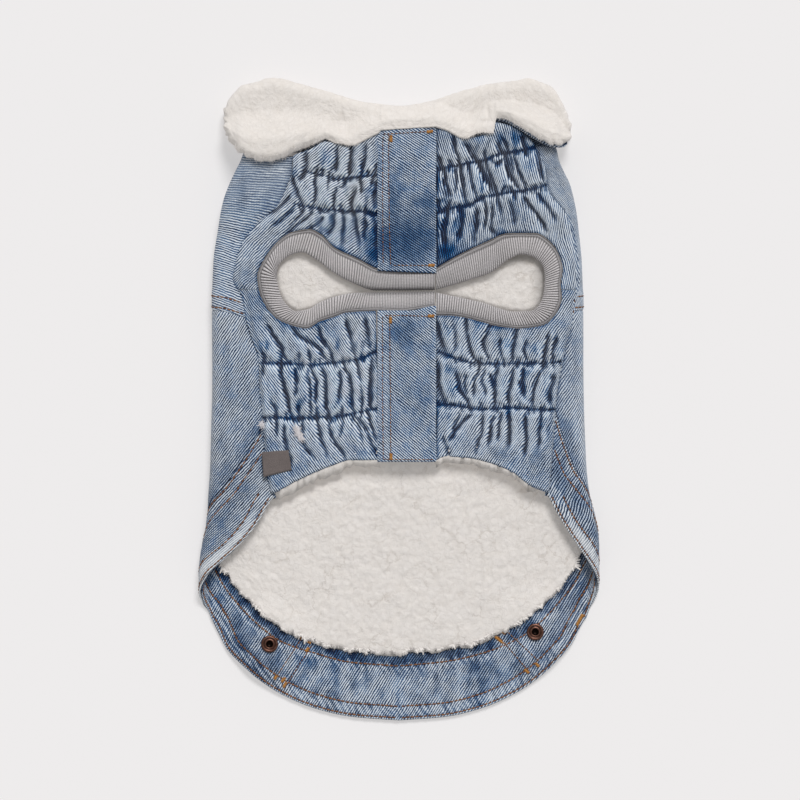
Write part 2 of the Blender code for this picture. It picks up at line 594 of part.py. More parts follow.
# ---------------------------------------------------------------- the jacket
def build():
    for obj in list(bpy.data.objects):
        bpy.data.objects.remove(obj, do_unlink=True)

    denim, denim_dark, denim_inside = (0.19, 0.29, 0.42), (0.13, 0.22, 0.36), (0.33, 0.43, 0.53)
    pile, rib_grey = (0.78, 0.74, 0.68), (0.42, 0.40, 0.37)

    tube_piece("back_yoke", YOKE_STATIONS, lambda s, a: float(yoke_seam(a)) + GAP,
               lambda s, a: float(yoke_neck[s](a)), even(7), 0.0, DENIM, denim, 0.85)
    tube_piece("back_lower", WRAP_STATIONS, line("band", GAP),
               lambda s, a: float(yoke_seam(a)) - GAP, LOWER_ROWS, 0.0, DENIM, denim, 0.85)
    band = tube_piece("waistband_outer", WRAP_STATIONS, line("hem"), line("band", -GAP),
                      even(4), 0.0, DENIM, denim_dark, 0.85)
    facing = tube_piece("waistband_facing", WRAP_STATIONS, line("hem", 0.4), line("face", -GAP),
                        even(4), FACING_DEPTH, FACING_DEPTH + 1.0, denim_inside, 0.85)
    tube_piece("back_lining", LINING_STATIONS, line("face", 1.9),
               lambda s, a: float(yoke_neck[s](a)) - 1.0, LINING_ROWS,
               LINING_DEPTH, LINING_DEPTH + SHERPA, pile, 0.95)
    make_front("front_left", RIB_LEFT, FRONT_LEFT, denim)
    make_front("front_right", RIB_RIGHT, FRONT_RIGHT, denim)
    make_front_lining("front_lining_left", RIB_LEFT, FRONT_LEFT, pile)
    make_front_lining("front_lining_right", RIB_RIGHT, FRONT_RIGHT, pile)
    make_rib("rib_left", RIB_LEFT, rib_grey)
    make_rib("rib_right", RIB_RIGHT, rib_grey)
    make_placket("placket_upper", 78.6, lambda x: 161.4 + 0.06 * (x - PLACKET_X0), denim_dark)
    make_placket("placket_lower", -37.4, lambda x: 52.0 - 0.02 * (x - PLACKET_X0), denim_dark)
    make_collar("collar", 0.0, COLLAR_PILE, pile, 0.95, 0)
    make_collar("under_collar", COLLAR_PILE + GAP, COLLAR_PILE + GAP + DENIM, denim_dark, 0.85, 1)
    for name, k in (("left", 0), ("right", 1)):
        x, y = BUTTONS["x"][k], BUTTONS["y"][k]
        make_button("tack_button_" + name, x, y, (0.45, 0.25, 0.16))
        for obj in (band, facing):
            cut_hole(obj, "hole_" + obj.name + "_" + name, x, y)
    make_label("woven_label", (0.20, 0.18, 0.17))


build()
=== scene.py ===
"""The denim dog jacket's looks: every cloth piece as a fine shell on its CAD solid's form.

The jacket lies flat, back down, belly side up. All sizes below are in millimetres, in
the CAD's frame; meshes are written in metres.
"""

import math

import bpy
import numpy as np
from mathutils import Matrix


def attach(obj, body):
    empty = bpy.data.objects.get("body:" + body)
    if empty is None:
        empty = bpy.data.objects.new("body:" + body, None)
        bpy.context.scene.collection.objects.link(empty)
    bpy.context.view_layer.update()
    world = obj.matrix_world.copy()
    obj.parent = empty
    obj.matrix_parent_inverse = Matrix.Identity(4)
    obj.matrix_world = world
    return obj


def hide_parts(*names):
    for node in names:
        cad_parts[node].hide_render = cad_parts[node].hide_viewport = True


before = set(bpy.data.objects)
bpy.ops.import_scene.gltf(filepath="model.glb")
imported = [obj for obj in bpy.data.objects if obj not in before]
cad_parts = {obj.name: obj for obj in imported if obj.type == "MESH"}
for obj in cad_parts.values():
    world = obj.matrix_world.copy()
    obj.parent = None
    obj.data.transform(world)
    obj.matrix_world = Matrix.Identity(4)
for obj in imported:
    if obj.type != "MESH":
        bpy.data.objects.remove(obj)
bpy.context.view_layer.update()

MM = 0.001
GAP = 0.3
DENIM = 1.1
FACING_DEPTH = 1.7
LINING_DEPTH = 2.5
SHERPA = 3.5
BODY_HEIGHT, NECK_HEIGHT = 14.5, 18.8
LEAF_LIFT = 6.6
LIFT_FROM, LIFT_TO = 100.0, 125.0
COLLAR_PILE, COLLAR_LEAF, COLLAR_ROLL = 4.6, 45.0, 0.4
FRONT_SEAM, FRONT_CREST = 1.5, 2.9
RIB_THICK = 2.9
PLACKET_X0, PLACKET_X1, PLACKET_THICK = -10.9, 22.0, 3.0
BUTTON_LIFT = 3.1
TWILL_PITCH = 1.3      # between the twill's lines


def table(names, *rows):
    """A small table: its named columns, each as an array."""
    data = np.array(rows, float)
    return {name: data[:, i] for i, name in enumerate(names.split())}


# Half widths of the laid tube, a row for each section across the body.
WIDTHS = table(
    "y left right",
    (-200, 120.2, 120.5), (-105, 120.2, 120.5), (-96, 119.5, 120.5), (-87, 118.0, 120.4),
    (-78, 116.2, 119.6), (-69, 115.0, 117.8), (-60, 114.7, 115.4), (-42, 113.5, 113.0),
    (-24, 112.9, 112.1), (12, 112.0, 111.2), (57, 112.3, 110.9), (84, 111.4, 110.0),
    (102, 108.7, 108.2), (111, 107.2, 107.0), (120, 105.1, 105.2), (129, 101.8, 102.8),
    (138, 97.6, 98.6), (144, 94.6, 96.2), (150, 92.8, 95.0), (164, 90.0, 92.0),
)

# Distance of each side seam from the middle, a row for each section.
SIDE_SEAM = table(
    "y left right",
    (-58, 76.0, 90.0), (-45, 79.8, 91.8), (-26, 81.6, 93.2), (-6, 82.2, 94.2),
    (10, 84.2, 96.8), (24, 84.6, 99.2), (33, 88.0, 101.4), (44, 91.6, 104.0),
    (60, 94.0, 106.4), (72, 99.6, 108.4), (86, 97.6, 107.2), (96, 93.2, 105.8),
    (103, 89.6, 104.8), (110, 80.8, 102.2), (118, 70.8, 96.4), (126, 68.6, 91.0),
    (138, 64.4, 88.0), (146, 64.2, 84.6), (152, 62.6, 81.6),
)

# Lines round the tube. Column wrap runs from 0 at the middle of the back, over 1 to 2
# round the side fold, to 3 at the side seam on top. A row for each station.
WRAP_LINES = table(
    "wrap hem_l hem_r band_l band_r face_l face_r",
    (0.00, -193.3, -193.3, -159.1, -159.1, -153.3, -153.3),
    (0.25, -191.1, -191.1, -156.9, -156.3, -151.8, -150.9),
    (0.44, -186.3, -186.0, -151.5, -151.5, -147.0, -145.8),
    (0.62, -177.9, -177.0, -144.3, -143.1, -138.9, -136.5),
    (0.75, -168.3, -167.1, -133.5, -132.3, -126.3, -125.1),
    (0.84, -159.3, -157.5, -123.3, -121.5, -116.7, -115.5),
    (0.92, -149.7, -147.3, -111.9, -110.7, -104.7, -104.1),
    (1.00, -131.7, -131.1, -96.3, -93.9, -89.7, -87.3),
    (1.25, -123.3, -120.3, -79.5, -74.7, -73.5, -68.7),
    (1.50, -116.7, -111.9, -68.7, -60.3, -62.7, -54.3),
    (1.75, -110.1, -104.1, -61.5, -51.3, -55.5, -45.3),
    (2.00, -102.9, -96.3, -55.5, -42.3, -49.5, -36.3),
    (2.33, -91.5, -84.9, -42.9, -30.3, -36.9, -24.3),
    (2.67, -77.1, -71.7, -30.3, -18.9, -24.3, -12.9),
    (3.00, -59.0, -57.8, -17.7, -7.5, -12.3, -2.7),
)
YOKE_SEAM = table("wrap y", (0, 66.0), (1, 64.0), (1.5, 62.0), (2, 61.0), (3, 57.5))
YOKE_NECK = table(
    "wrap left right", (0, 149.0, 149.0), (1, 149.0, 149.5), (2, 149.0, 152.0), (3, 145.6, 152.0)
)

# Sections across each ribbed band, from the middle of the chest round the leg opening
# and back: outer edge and inner edge.
RIB_LEFT = table(
    "out_x out_y in_x in_y",
    (21.6, 77.7, 21.6, 65.7), (0.8, 76.8, 0.8, 65.4), (-11.2, 77.7, -13.6, 65.4),
    (-24.6, 84.0, -26.2, 69.3), (-38.8, 90.9, -38.8, 75.9), (-46.3, 98.4, -49.3, 83.7),
    (-53.8, 101.7, -58.0, 88.2), (-64.0, 99.9, -65.8, 86.1), (-72.4, 94.5, -72.2, 79.5),
    (-79.0, 86.1, -72.9, 75.6), (-84.4, 73.8, -73.0, 72.3), (-83.2, 65.1, -71.2, 63.9),
    (-79.0, 55.5, -67.0, 56.7), (-71.2, 47.7, -61.6, 53.1), (-55.6, 42.9, -53.8, 54.3),
    (-47.2, 47.1, -47.8, 57.9), (-38.8, 49.8, -38.8, 61.5), (-30.4, 52.5, -26.2, 63.9),
    (-13.6, 53.4, -13.6, 64.2), (0.8, 52.8, 0.8, 64.4), (21.6, 55.8, 21.6, 64.8),
)
RIB_RIGHT = table(
    "out_x out_y in_x in_y",
    (22.4, 78.3, 22.4, 65.9), (32.6, 84.3, 32.6, 68.7), (41.6, 89.1, 42.8, 71.7),
    (54.8, 95.1, 54.8, 75.9), (63.8, 99.0, 65.6, 83.7), (72.2, 99.3, 73.4, 87.0),
    (81.8, 99.3, 78.8, 86.1), (89.6, 95.1, 83.0, 83.7), (95.6, 87.3, 86.6, 79.5),
    (98.0, 77.7, 87.5, 73.5), (96.8, 69.3, 87.2, 67.5), (97.4, 60.9, 86.3, 61.5),
    (94.4, 52.5, 83.0, 55.5), (86.0, 44.7, 78.8, 53.1), (72.2, 42.9, 68.6, 52.8),
    (60.8, 44.1, 59.6, 54.9), (48.8, 47.1, 51.2, 57.9), (38.0, 49.8, 39.2, 60.6),
    (29.6, 50.7, 30.8, 62.4), (22.4, 50.7, 22.4, 64.2),
)

# Sections from the ribbed band out to a front's edge: neck, side seam, then belly hem.
# Column rib is the station along that side's rib table.
FRONT_LEFT = table(
    "rib edge_x edge_y",
    (2.00, -11.2, 160.8), (3.00, -22.0, 155.4), (4.00, -30.4, 151.5), (4.60, -38.2, 153.8),
    (5.10, -43.6, 154.5), (6.00, -53.2, 149.7), (6.60, -63.4, 145.2), (7.00, -63.9, 137.7),
    (7.50, -68.0, 125.0), (8.00, -73.0, 115.6), (8.50, -84.6, 105.6), (9.00, -92.8, 95.4),
    (9.50, -97.0, 84.9), (10.0, -99.3, 72.6), (11.0, -94.0, 62.0), (11.5, -92.2, 51.0),
    (12.0, -88.8, 38.4), (12.5, -83.9, 23.1), (13.0, -83.4, 6.3), (13.4, -81.7, -9.3),
    (13.8, -80.6, -30.3), (14.1, -76.0, -56.4), (14.5, -61.6, -49.5), (15.0, -49.6, -43.9),
    (16.0, -37.6, -39.3), (17.0, -28.0, -36.9), (18.0, -11.2, -36.9),
)
FRONT_RIGHT = table(
    "rib edge_x edge_y",
    (0.00, 22.3, 163.0), (0.60, 29.0, 162.0), (1.30, 36.0, 158.0), (2.00, 42.0, 157.0),
    (2.60, 52.8, 159.6), (3.00, 56.0, 166.0), (4.00, 66.0, 164.6), (5.00, 75.0, 159.6),
    (5.60, 81.8, 151.8), (6.00, 87.4, 139.2), (6.50, 89.6, 125.4), (7.00, 99.2, 112.5),
    (7.60, 104.4, 101.0), (8.10, 106.2, 91.5), (8.60, 107.8, 79.8), (9.00, 107.8, 69.0),
    (9.50, 105.6, 59.0), (10.2, 104.2, 46.0), (11.0, 100.6, 33.0), (11.6, 97.8, 18.9),
    (12.2, 95.2, 6.3), (12.7, 93.8, -10.0), (13.1, 92.0, -36.0), (13.6, 89.7, -56.0),
    (14.0, 77.6, -51.3), (15.0, 69.2, -44.7), (16.0, 54.8, -38.7), (17.0, 40.4, -35.5),
    (18.0, 28.0, -34.8), (19.0, 22.3, -37.2),
)

# The collar, a row for each section across the neck: where it meets the neckline, its
# roll, and how far its pile stands over the floor at the neckline and at the roll.
COLLAR = table(
    "x low_y roll_y low_z roll_z",
    (-104.6, 162.0, 176.5, 13.0, 6.2), (-99.5, 153.5, 183.5, 16.5, 6.4),
    (-94.0, 148.5, 188.6, 20.9, 6.6), (-85.0, 144.0, 190.8, 21.2, 6.8),
    (-77.0, 143.5, 193.2, 21.2, 6.8), (-69.0, 145.6, 192.4, 21.2, 6.8),
    (-62.0, 149.4, 190.2, 19.6, 6.6), (-53.0, 153.0, 187.8, 13.5, 6.4),
    (-44.0, 157.0, 185.2, 9.6, 6.2), (-36.0, 153.4, 182.8, 7.7, 6.0),
    (-24.0, 152.0, 179.4, 7.7, 6.0), (-12.0, 150.4, 177.4, 7.7, 6.0),
    (0.0, 150.4, 176.2, 7.7, 6.0), (12.0, 150.4, 177.6, 7.7, 6.0),
    (22.0, 150.4, 180.0, 7.7, 6.0), (34.0, 153.0, 184.0, 7.7, 6.0),
    (46.0, 160.0, 187.4, 7.8, 6.2), (54.0, 168.4, 189.4, 13.0, 6.4),
    (62.0, 168.4, 190.6, 19.0, 6.6), (70.0, 164.6, 191.4, 22.4, 6.8),
    (78.0, 159.6, 192.8, 22.6, 6.8), (86.0, 155.0, 190.4, 22.4, 6.8),
    (93.0, 152.6, 186.6, 21.2, 6.6), (98.5, 153.0, 177.6, 16.0, 6.4),
    (103.2, 157.5, 167.5, 11.5, 6.2),
)

BUTTONS = table("x y", (-77.6, -147.0), (82.1, -139.7))
LABEL = table("x y", (-82.0, -31.5), (-66.0, -30.3), (-64.0, -42.3), (-81.0, -46.5))

LINING_ENDS = {"front_lining_left": (6.6, 14.15), "front_lining_right": (5.6, 13.65)}


# Creases of the gathered fronts, a row each: how deep, half width, lean of the fold
# over the crease (-1 to 1), then the points that it runs through.
CREASES = (
    # chest left
    (2.2, 1.6, 0.3, (-55.6, 147.9), (-55.4, 137.7), (-59.2, 129.9)),
    (2.4, 1.2, 0.5, (-36.7, 150.9), (-36.7, 143.7), (-37.6, 136.1)),
    (2.6, 1.2, -0.3, (-47.8, 141.3), (-49.3, 135.3), (-50.6, 122.7), (-51, 114.3)),
    (1.8, 1.3, 0.3, (-51, 114.3), (-52.6, 110.7), (-59.8, 104.7), (-67.6, 99.9)),
    (1.9, 1.0, 0.3, (-41.8, 137.7), (-41.5, 131.1), (-42.4, 125.1)),
    (1.6, 0.9, 0.0, (-37, 140.1), (-40.9, 136.5)),
    (2.6, 1.3, -0.4, (-28.6, 152.1), (-29.2, 141.3), (-30.8, 132.9)),
    (2.0, 1.2, 0.2, (-30.8, 132.9), (-33.4, 127.5), (-36.7, 126.9)),
    (2.3, 1.1, 0.3, (-37, 127.5), (-38, 122.1), (-38.8, 113.1)),
    (2.3, 1.2, 0.5, (-19.6, 152.7), (-19.9, 145.7), (-21.4, 136.5)),
    (2.6, 1.6, -0.4, (-24.4, 134.1), (-23.2, 128.7), (-22.8, 122.7)),
    (2.9, 1.6, 0.4, (-25.7, 127.5), (-27.4, 120.9), (-27.8, 114.9), (-26, 109.5), (-24.4, 103.5), (-23.2, 94.5)),
    (2.0, 1.3, -0.3, (-12.4, 141.9), (-15.2, 135.3), (-16.9, 127.5)),
    (2.2, 1.4, 0.3, (-19.4, 116.1), (-19.9, 106.5), (-20.2, 95.7)),
    (1.8, 1.4, 0.3, (-45.1, 110.1), (-47.6, 105.9), (-53.8, 102.3)),
    (1.8, 1.2, 0.0, (-34.2, 114.3), (-32.5, 111), (-29.5, 114.3)),
    (1.4, 1.1, 0.0, (-48.4, 114.6), (-44.2, 111.9), (-40.6, 114.3)),
    (2.2, 1.5, -0.3, (-13.6, 131.7), (-14.8, 124.5), (-14.8, 116.1)),
    (1.7, 1.6, 0.2, (-38.8, 111.9), (-39.4, 104.7), (-43, 98.1)),
    (1.8, 1.5, -0.2, (-32.2, 110.7), (-33.4, 102.3), (-34.6, 92.1)),
    (1.7, 1.6, 0.2, (-15.4, 111.3), (-13.6, 100.5), (-13, 89.7)),
    (1.7, 1.6, 0.3, (-63.4, 134.1), (-61, 124.5), (-58, 117.9)),
    (1.6, 1.4, 0.2, (-56.2, 114.9), (-59.2, 109.5), (-65.8, 102.9)),
    (1.4, 1.4, 0.2, (-62.2, 114.9), (-68.8, 108.3), (-76, 102.9)),
    (1.5, 1.5, 0.2, (-65.2, 122.1), (-70.6, 116.1), (-77.2, 111.3)),
    # chest right
    (2.9, 1.3, 0.4, (32.2, 159.3), (35.2, 146.7), (36.8, 140.7), (38.6, 132.9), (40.2, 120.9), (42.8, 116.1)),
    (3.2, 2.2, -0.5, (39.2, 152.7), (45.2, 144.3), (49.6, 135.9), (53.6, 129.9), (56.6, 122.7)),
    (2.8, 1.5, 0.4, (51.2, 149.7), (52.6, 140.8), (56.6, 131.4), (59.6, 122.1), (61.6, 111.3)),
    (2.4, 1.1, 0.3, (40.2, 143.7), (42.7, 136.9), (44.2, 127.9), (47.6, 119.7)),
    (3.2, 1.9, -0.4, (58.6, 153.9), (62.6, 146.7), (65.6, 136.9), (69, 130.9), (74, 122.9)),
    (2.4, 1.3, 0.3, (74, 122.9), (78.5, 116.9), (83.9, 108.9), (89.6, 100.5)),
    (2.4, 1.2, 0.3, (62.6, 156.9), (67, 144.9), (69.2, 134.1)),
    (2.2, 1.2, 0.4, (68.6, 149.7), (71, 139.9), (74.6, 130.9), (78.2, 125.1)),
    (2.0, 1.6, -0.3, (74, 159.3), (75.2, 149.7), (77.6, 144.9)),
    (2.0, 1.6, 0.3, (83, 150.9), (85.4, 138.9), (86.6, 129.3)),
    (2.6, 1.4, 0.4, (23.8, 146.1), (27.2, 138.9), (28.7, 129.9), (31.7, 120.9)),
    (2.2, 1.5, 0.3, (31.7, 120.9), (29.6, 111.9), (27.8, 101.1), (27.8, 90.9)),
    (2.2, 1.3, -0.4, (22.9, 119.7), (26.2, 111.3)),
    (2.3, 1.4, 0.3, (46.6, 114.9), (46.6, 103.5), (45.7, 94.5)),
    (2.3, 1.1, 0.4, (51.2, 121.5), (52.6, 111), (51.2, 101.1)),
    (2.2, 1.4, -0.4, (55.1, 120.9), (55.6, 111), (55.1, 102.1), (59, 98.7)),
    (1.9, 1.0, 0.0, (67, 128.7), (68.9, 123.9), (70.4, 119.7)),
    (1.6, 0.9, 0.0, (29.6, 143.1), (33.2, 139.9), (36.8, 141.3)),
    (2.0, 1.5, 0.3, (38.6, 116.1), (38, 106.5), (36.2, 95.7)),
    (1.6, 1.6, 0.2, (65.6, 120.9), (68, 112.5), (70.4, 104.1)),
    (1.9, 1.5, 0.3, (33.8, 140.1), (35, 130.5), (34.4, 122.1)),
    (1.4, 1.6, 0.2, (81.2, 125.7), (87.8, 117.3), (94.4, 106.5)),
    (1.6, 1.4, 0.2, (60.8, 123.9), (65, 127.5), (68, 123.9)),
    (1.8, 1.4, 0.2, (54.2, 143.7), (59, 141.3), (62.6, 144.9)),
    # belly left
    (2.6, 1.4, 0.4, (-78.4, 46.5), (-75.4, 39.7), (-70.3, 31.6), (-69.1, 27.1), (-65.2, 21.3)),
    (2.7, 1.2, 0.3, (-70.3, 28.2), (-70, 19), (-69.4, 12.9), (-66.8, 1.8), (-65.2, -6.3), (-62.2, -13.5)),
    (2.3, 1.5, -0.3, (-64, 43.5), (-59.4, 37.4), (-49, 31.1), (-43.9, 25.3), (-41.6, 19.5)),
    (2.7, 1.3, 0.4, (-54.2, 30.9), (-52.5, 20.1), (-49.6, 13.3), (-49, 4.1), (-49.6, -3.9)),
    (2.3, 1.2, -0.3, (-49.6, -3.9), (-49, -14.3), (-47.3, -21.2), (-43.3, -33.9)),
    (2.7, 1.3, 0.3, (-47.3, 20.1), (-43.3, 12.1), (-43.9, 5.2), (-43.3, -2.7), (-40.4, -10.5), (-41, -15.9)),
    (2.4, 1.3, 0.3, (-47.9, 43.7), (-45.6, 36.3), (-41, 28.2), (-37.9, 19.5)),
    (2.7, 1.4, -0.4, (-31.9, 48.9), (-29.5, 36.3), (-27.2, 28.7), (-25.6, 23.1), (-23.2, 11.7)),
    (2.9, 1.4, 0.4, (-34.1, 26.1), (-31.3, 17.9), (-28.4, 11), (-27.8, 1.8), (-26.1, -8.5)),
    (2.4, 1.3, 0.3, (-26.1, -8.5), (-21.5, -14.3), (-16.9, -23.5), (-13, -33.9)),
    (2.8, 1.5, -0.4, (-15.4, 29.7), (-15.8, 24.7), (-16.9, 15.5), (-17.5, 4.1), (-16.9, -3.9), (-14, -7.5)),
    (2.2, 1.2, 0.3, (-54.1, 20.1), (-53.6, 11.7), (-52.5, 1.8), (-52.5, -10.5)),
    (2.4, 1.2, 0.3, (-69.1, -14.1), (-67.4, -26.9), (-64, -39.9)),
    (2.0, 1.2, -0.3, (-58.3, -12.3), (-57.1, -25.7), (-51.4, -34.5)),
    (2.4, 1.2, 0.4, (-42.2, -14.7), (-38.7, -24.1), (-34.1, -31.5), (-31, -35.7)),
    (2.0, 1.2, -0.2, (-28.4, -9.9), (-23.8, -16.5), (-22, -24.3)),
    (2.3, 1.2, 0.3, (-18.7, -5.1), (-16.3, -15.4), (-13, -24.9)),
    (1.8, 1.5, 0.2, (-82, 29.7), (-80.8, 22.5), (-82, 12.9)),
    (1.9, 1.4, 0.2, (-62.8, 20.1), (-61, 11.7), (-62.2, 2.1)),
    (1.9, 1.3, -0.2, (-35.8, 18.9), (-35.2, 9.3), (-36.4, -1.5)),
    (1.9, 1.3, 0.2, (-22, 6.9), (-21.4, -0.3), (-22, -8.7)),
    (1.9, 1.3, 0.2, (-60.4, -2.7), (-59.2, -8.7), (-59.8, -14.7)),
    (1.7, 1.6, 0.2, (-19.6, 48.9), (-18.4, 39.3), (-17.2, 29.7)),
    (1.8, 1.3, 0.2, (-34, -3.9), (-33.4, -12.3), (-35.2, -21.9)),
    (1.6, 1.4, 0.2, (-76.6, 0.9), (-73.6, -7.5), (-73, -21.9)),
    (1.6, 1.6, 0.2, (-59.2, 28.5), (-59.8, 22.5), (-57.4, 16.5)),
    # belly right
    (3.0, 1.8, 0.5, (23.6, 46.5), (25.4, 36.9), (28.6, 26.1)),
    (2.8, 1.3, 0.4, (40.3, 49.5), (41.6, 38.9), (42.8, 31.7), (46.1, 25.2), (51.3, 20.1)),
    (2.8, 1.3, -0.4, (55.9, 47.7), (52, 38.2), (51.3, 31.7), (53.9, 22.5)),
    (2.6, 1.4, 0.4, (71.3, 42.9), (68.9, 30.9), (68.2, 21.9)),
    (2.6, 1.3, -0.3, (89.6, 38.7), (87.1, 25.9), (85.8, 17.1)),
    (2.5, 1.4, 0.3, (47.4, 23.7), (48.8, 18.9), (45.8, 11.5), (44.8, 0.9)),
    (2.4, 1.7, -0.3, (34.4, 16.5), (36.4, 5.7), (40.9, -0.8), (43.5, -8.7)),
    (2.7, 1.3, 0.3, (60.4, 20.1), (57.8, 10.3), (57.8, 1.1), (57.2, -6.3)),
    (2.8, 1.4, -0.3, (69.5, 20.1), (67, 10.3), (65.6, 1.1), (67, -6.3)),
    (2.6, 1.2, 0.4, (85.4, 17.7), (81.2, 6.3), (80, -3.9)),
    (2.2, 1.9, 0.0, (54.2, 15.3), (56.2, 11.1), (57.2, 5.7)),
    (2.5, 1.5, 0.4, (24, 22.5), (24.7, 7.6), (28.6, -3.9)),
    (2.0, 1.4, 0.4, (44.2, -8.1), (37.7, -15.1), (30.2, -24.9)),
    (2.3, 1.2, 0.3, (51.2, -8.1), (50, -18.3), (46.1, -32.7)),
    (2.4, 1.3, -0.3, (57.2, -8.1), (55.2, -18.3), (53.9, -27.9)),
    (2.6, 1.6, 0.4, (67, -6.9), (67, -18.3), (65.6, -29.1)),
    (2.3, 1.2, 0.3, (76, -6.9), (76.7, -21.7), (75.4, -33.3)),
    (1.9, 1.4, 0.2, (26.6, -21.9), (30.5, -34.5)),
    (1.9, 1.4, 0.2, (32.6, 26.7), (33.8, 35.7), (32.6, 45.3)),
    (1.9, 1.3, -0.3, (62.6, 22.5), (60.8, 29.7), (60.8, 36.9)),
    (2.0, 1.3, 0.2, (77, 22.5), (75.2, 28.5), (76.4, 35.7)),
    (1.9, 1.3, 0.2, (91.4, 21.3), (92, 29.7), (94.4, 38.1)),
    (1.9, 1.3, -0.2, (74.6, 20.1), (74, 11.7), (75.2, 2.1)),
    (1.9, 1.3, 0.2, (52.4, 18.9), (50.6, 12.9), (52.4, 2.1)),
    (1.8, 1.3, 0.2, (61.4, -6.9), (60.8, -15.9), (59.6, -24.3)),
    (1.8, 1.3, 0.2, (84.8, -6.9), (84.8, -15.9), (83.6, -29.1)),
    (1.8, 1.3, 0.2, (36.8, -6.9), (34.4, -14.7), (32, -19.5)),
    (1.7, 1.6, 0.2, (93.2, 16.5), (91.4, 6.9), (89.6, -2.7)),
    (1.7, 1.4, 0.2, (40.4, 15.3), (39.2, 9.3), (41.6, 2.1)),
    (1.5, 1.5, 0.2, (75.2, 0.9), (73.4, 5.7), (72.2, 11.7)),
)

# Rows of elastic stitching across the fronts: the points that each runs through.
ELASTIC = (
    ((-56.2, 137.1), (-46, 134.1), (-34.6, 131.7), (-22, 133.5), (-10.6, 134.1)),
    ((-61.6, 116.7), (-48.4, 114.3), (-34.6, 113.1), (-22, 112.5), (-10, 110.1)),
    ((23.6, 137.7), (36.2, 140.7), (51.2, 143.1), (59.6, 146.7), (70.4, 148.5), (81.8, 150.9)),
    ((23, 111.9), (30.2, 114.3), (41, 116.1), (47, 119.1), (53, 121.5), (65, 123.6), (78.2, 125.7), (89, 128.7)),
    ((-83.8, 21.9), (-68.2, 21.7), (-52, 20.7), (-41.8, 21.6), (-26.2, 23.7), (-13.6, 28.5)),
    ((-82.6, -10.5), (-65.2, -11.1), (-47.2, -10.8), (-32.2, -9.6), (-20.2, -6.9), (-9.4, -5.1)),
    ((24.2, 28.5), (32, 25.5), (40.4, 22.5), (51.2, 21.6), (69.8, 21.6), (87.8, 21.9), (97.4, 22.5)),
    ((23.6, -2.7), (32, -3.3), (44.6, -5.4), (54.8, -5.7), (68, -5.1), (81.8, -6), (94.4, -6)),
)

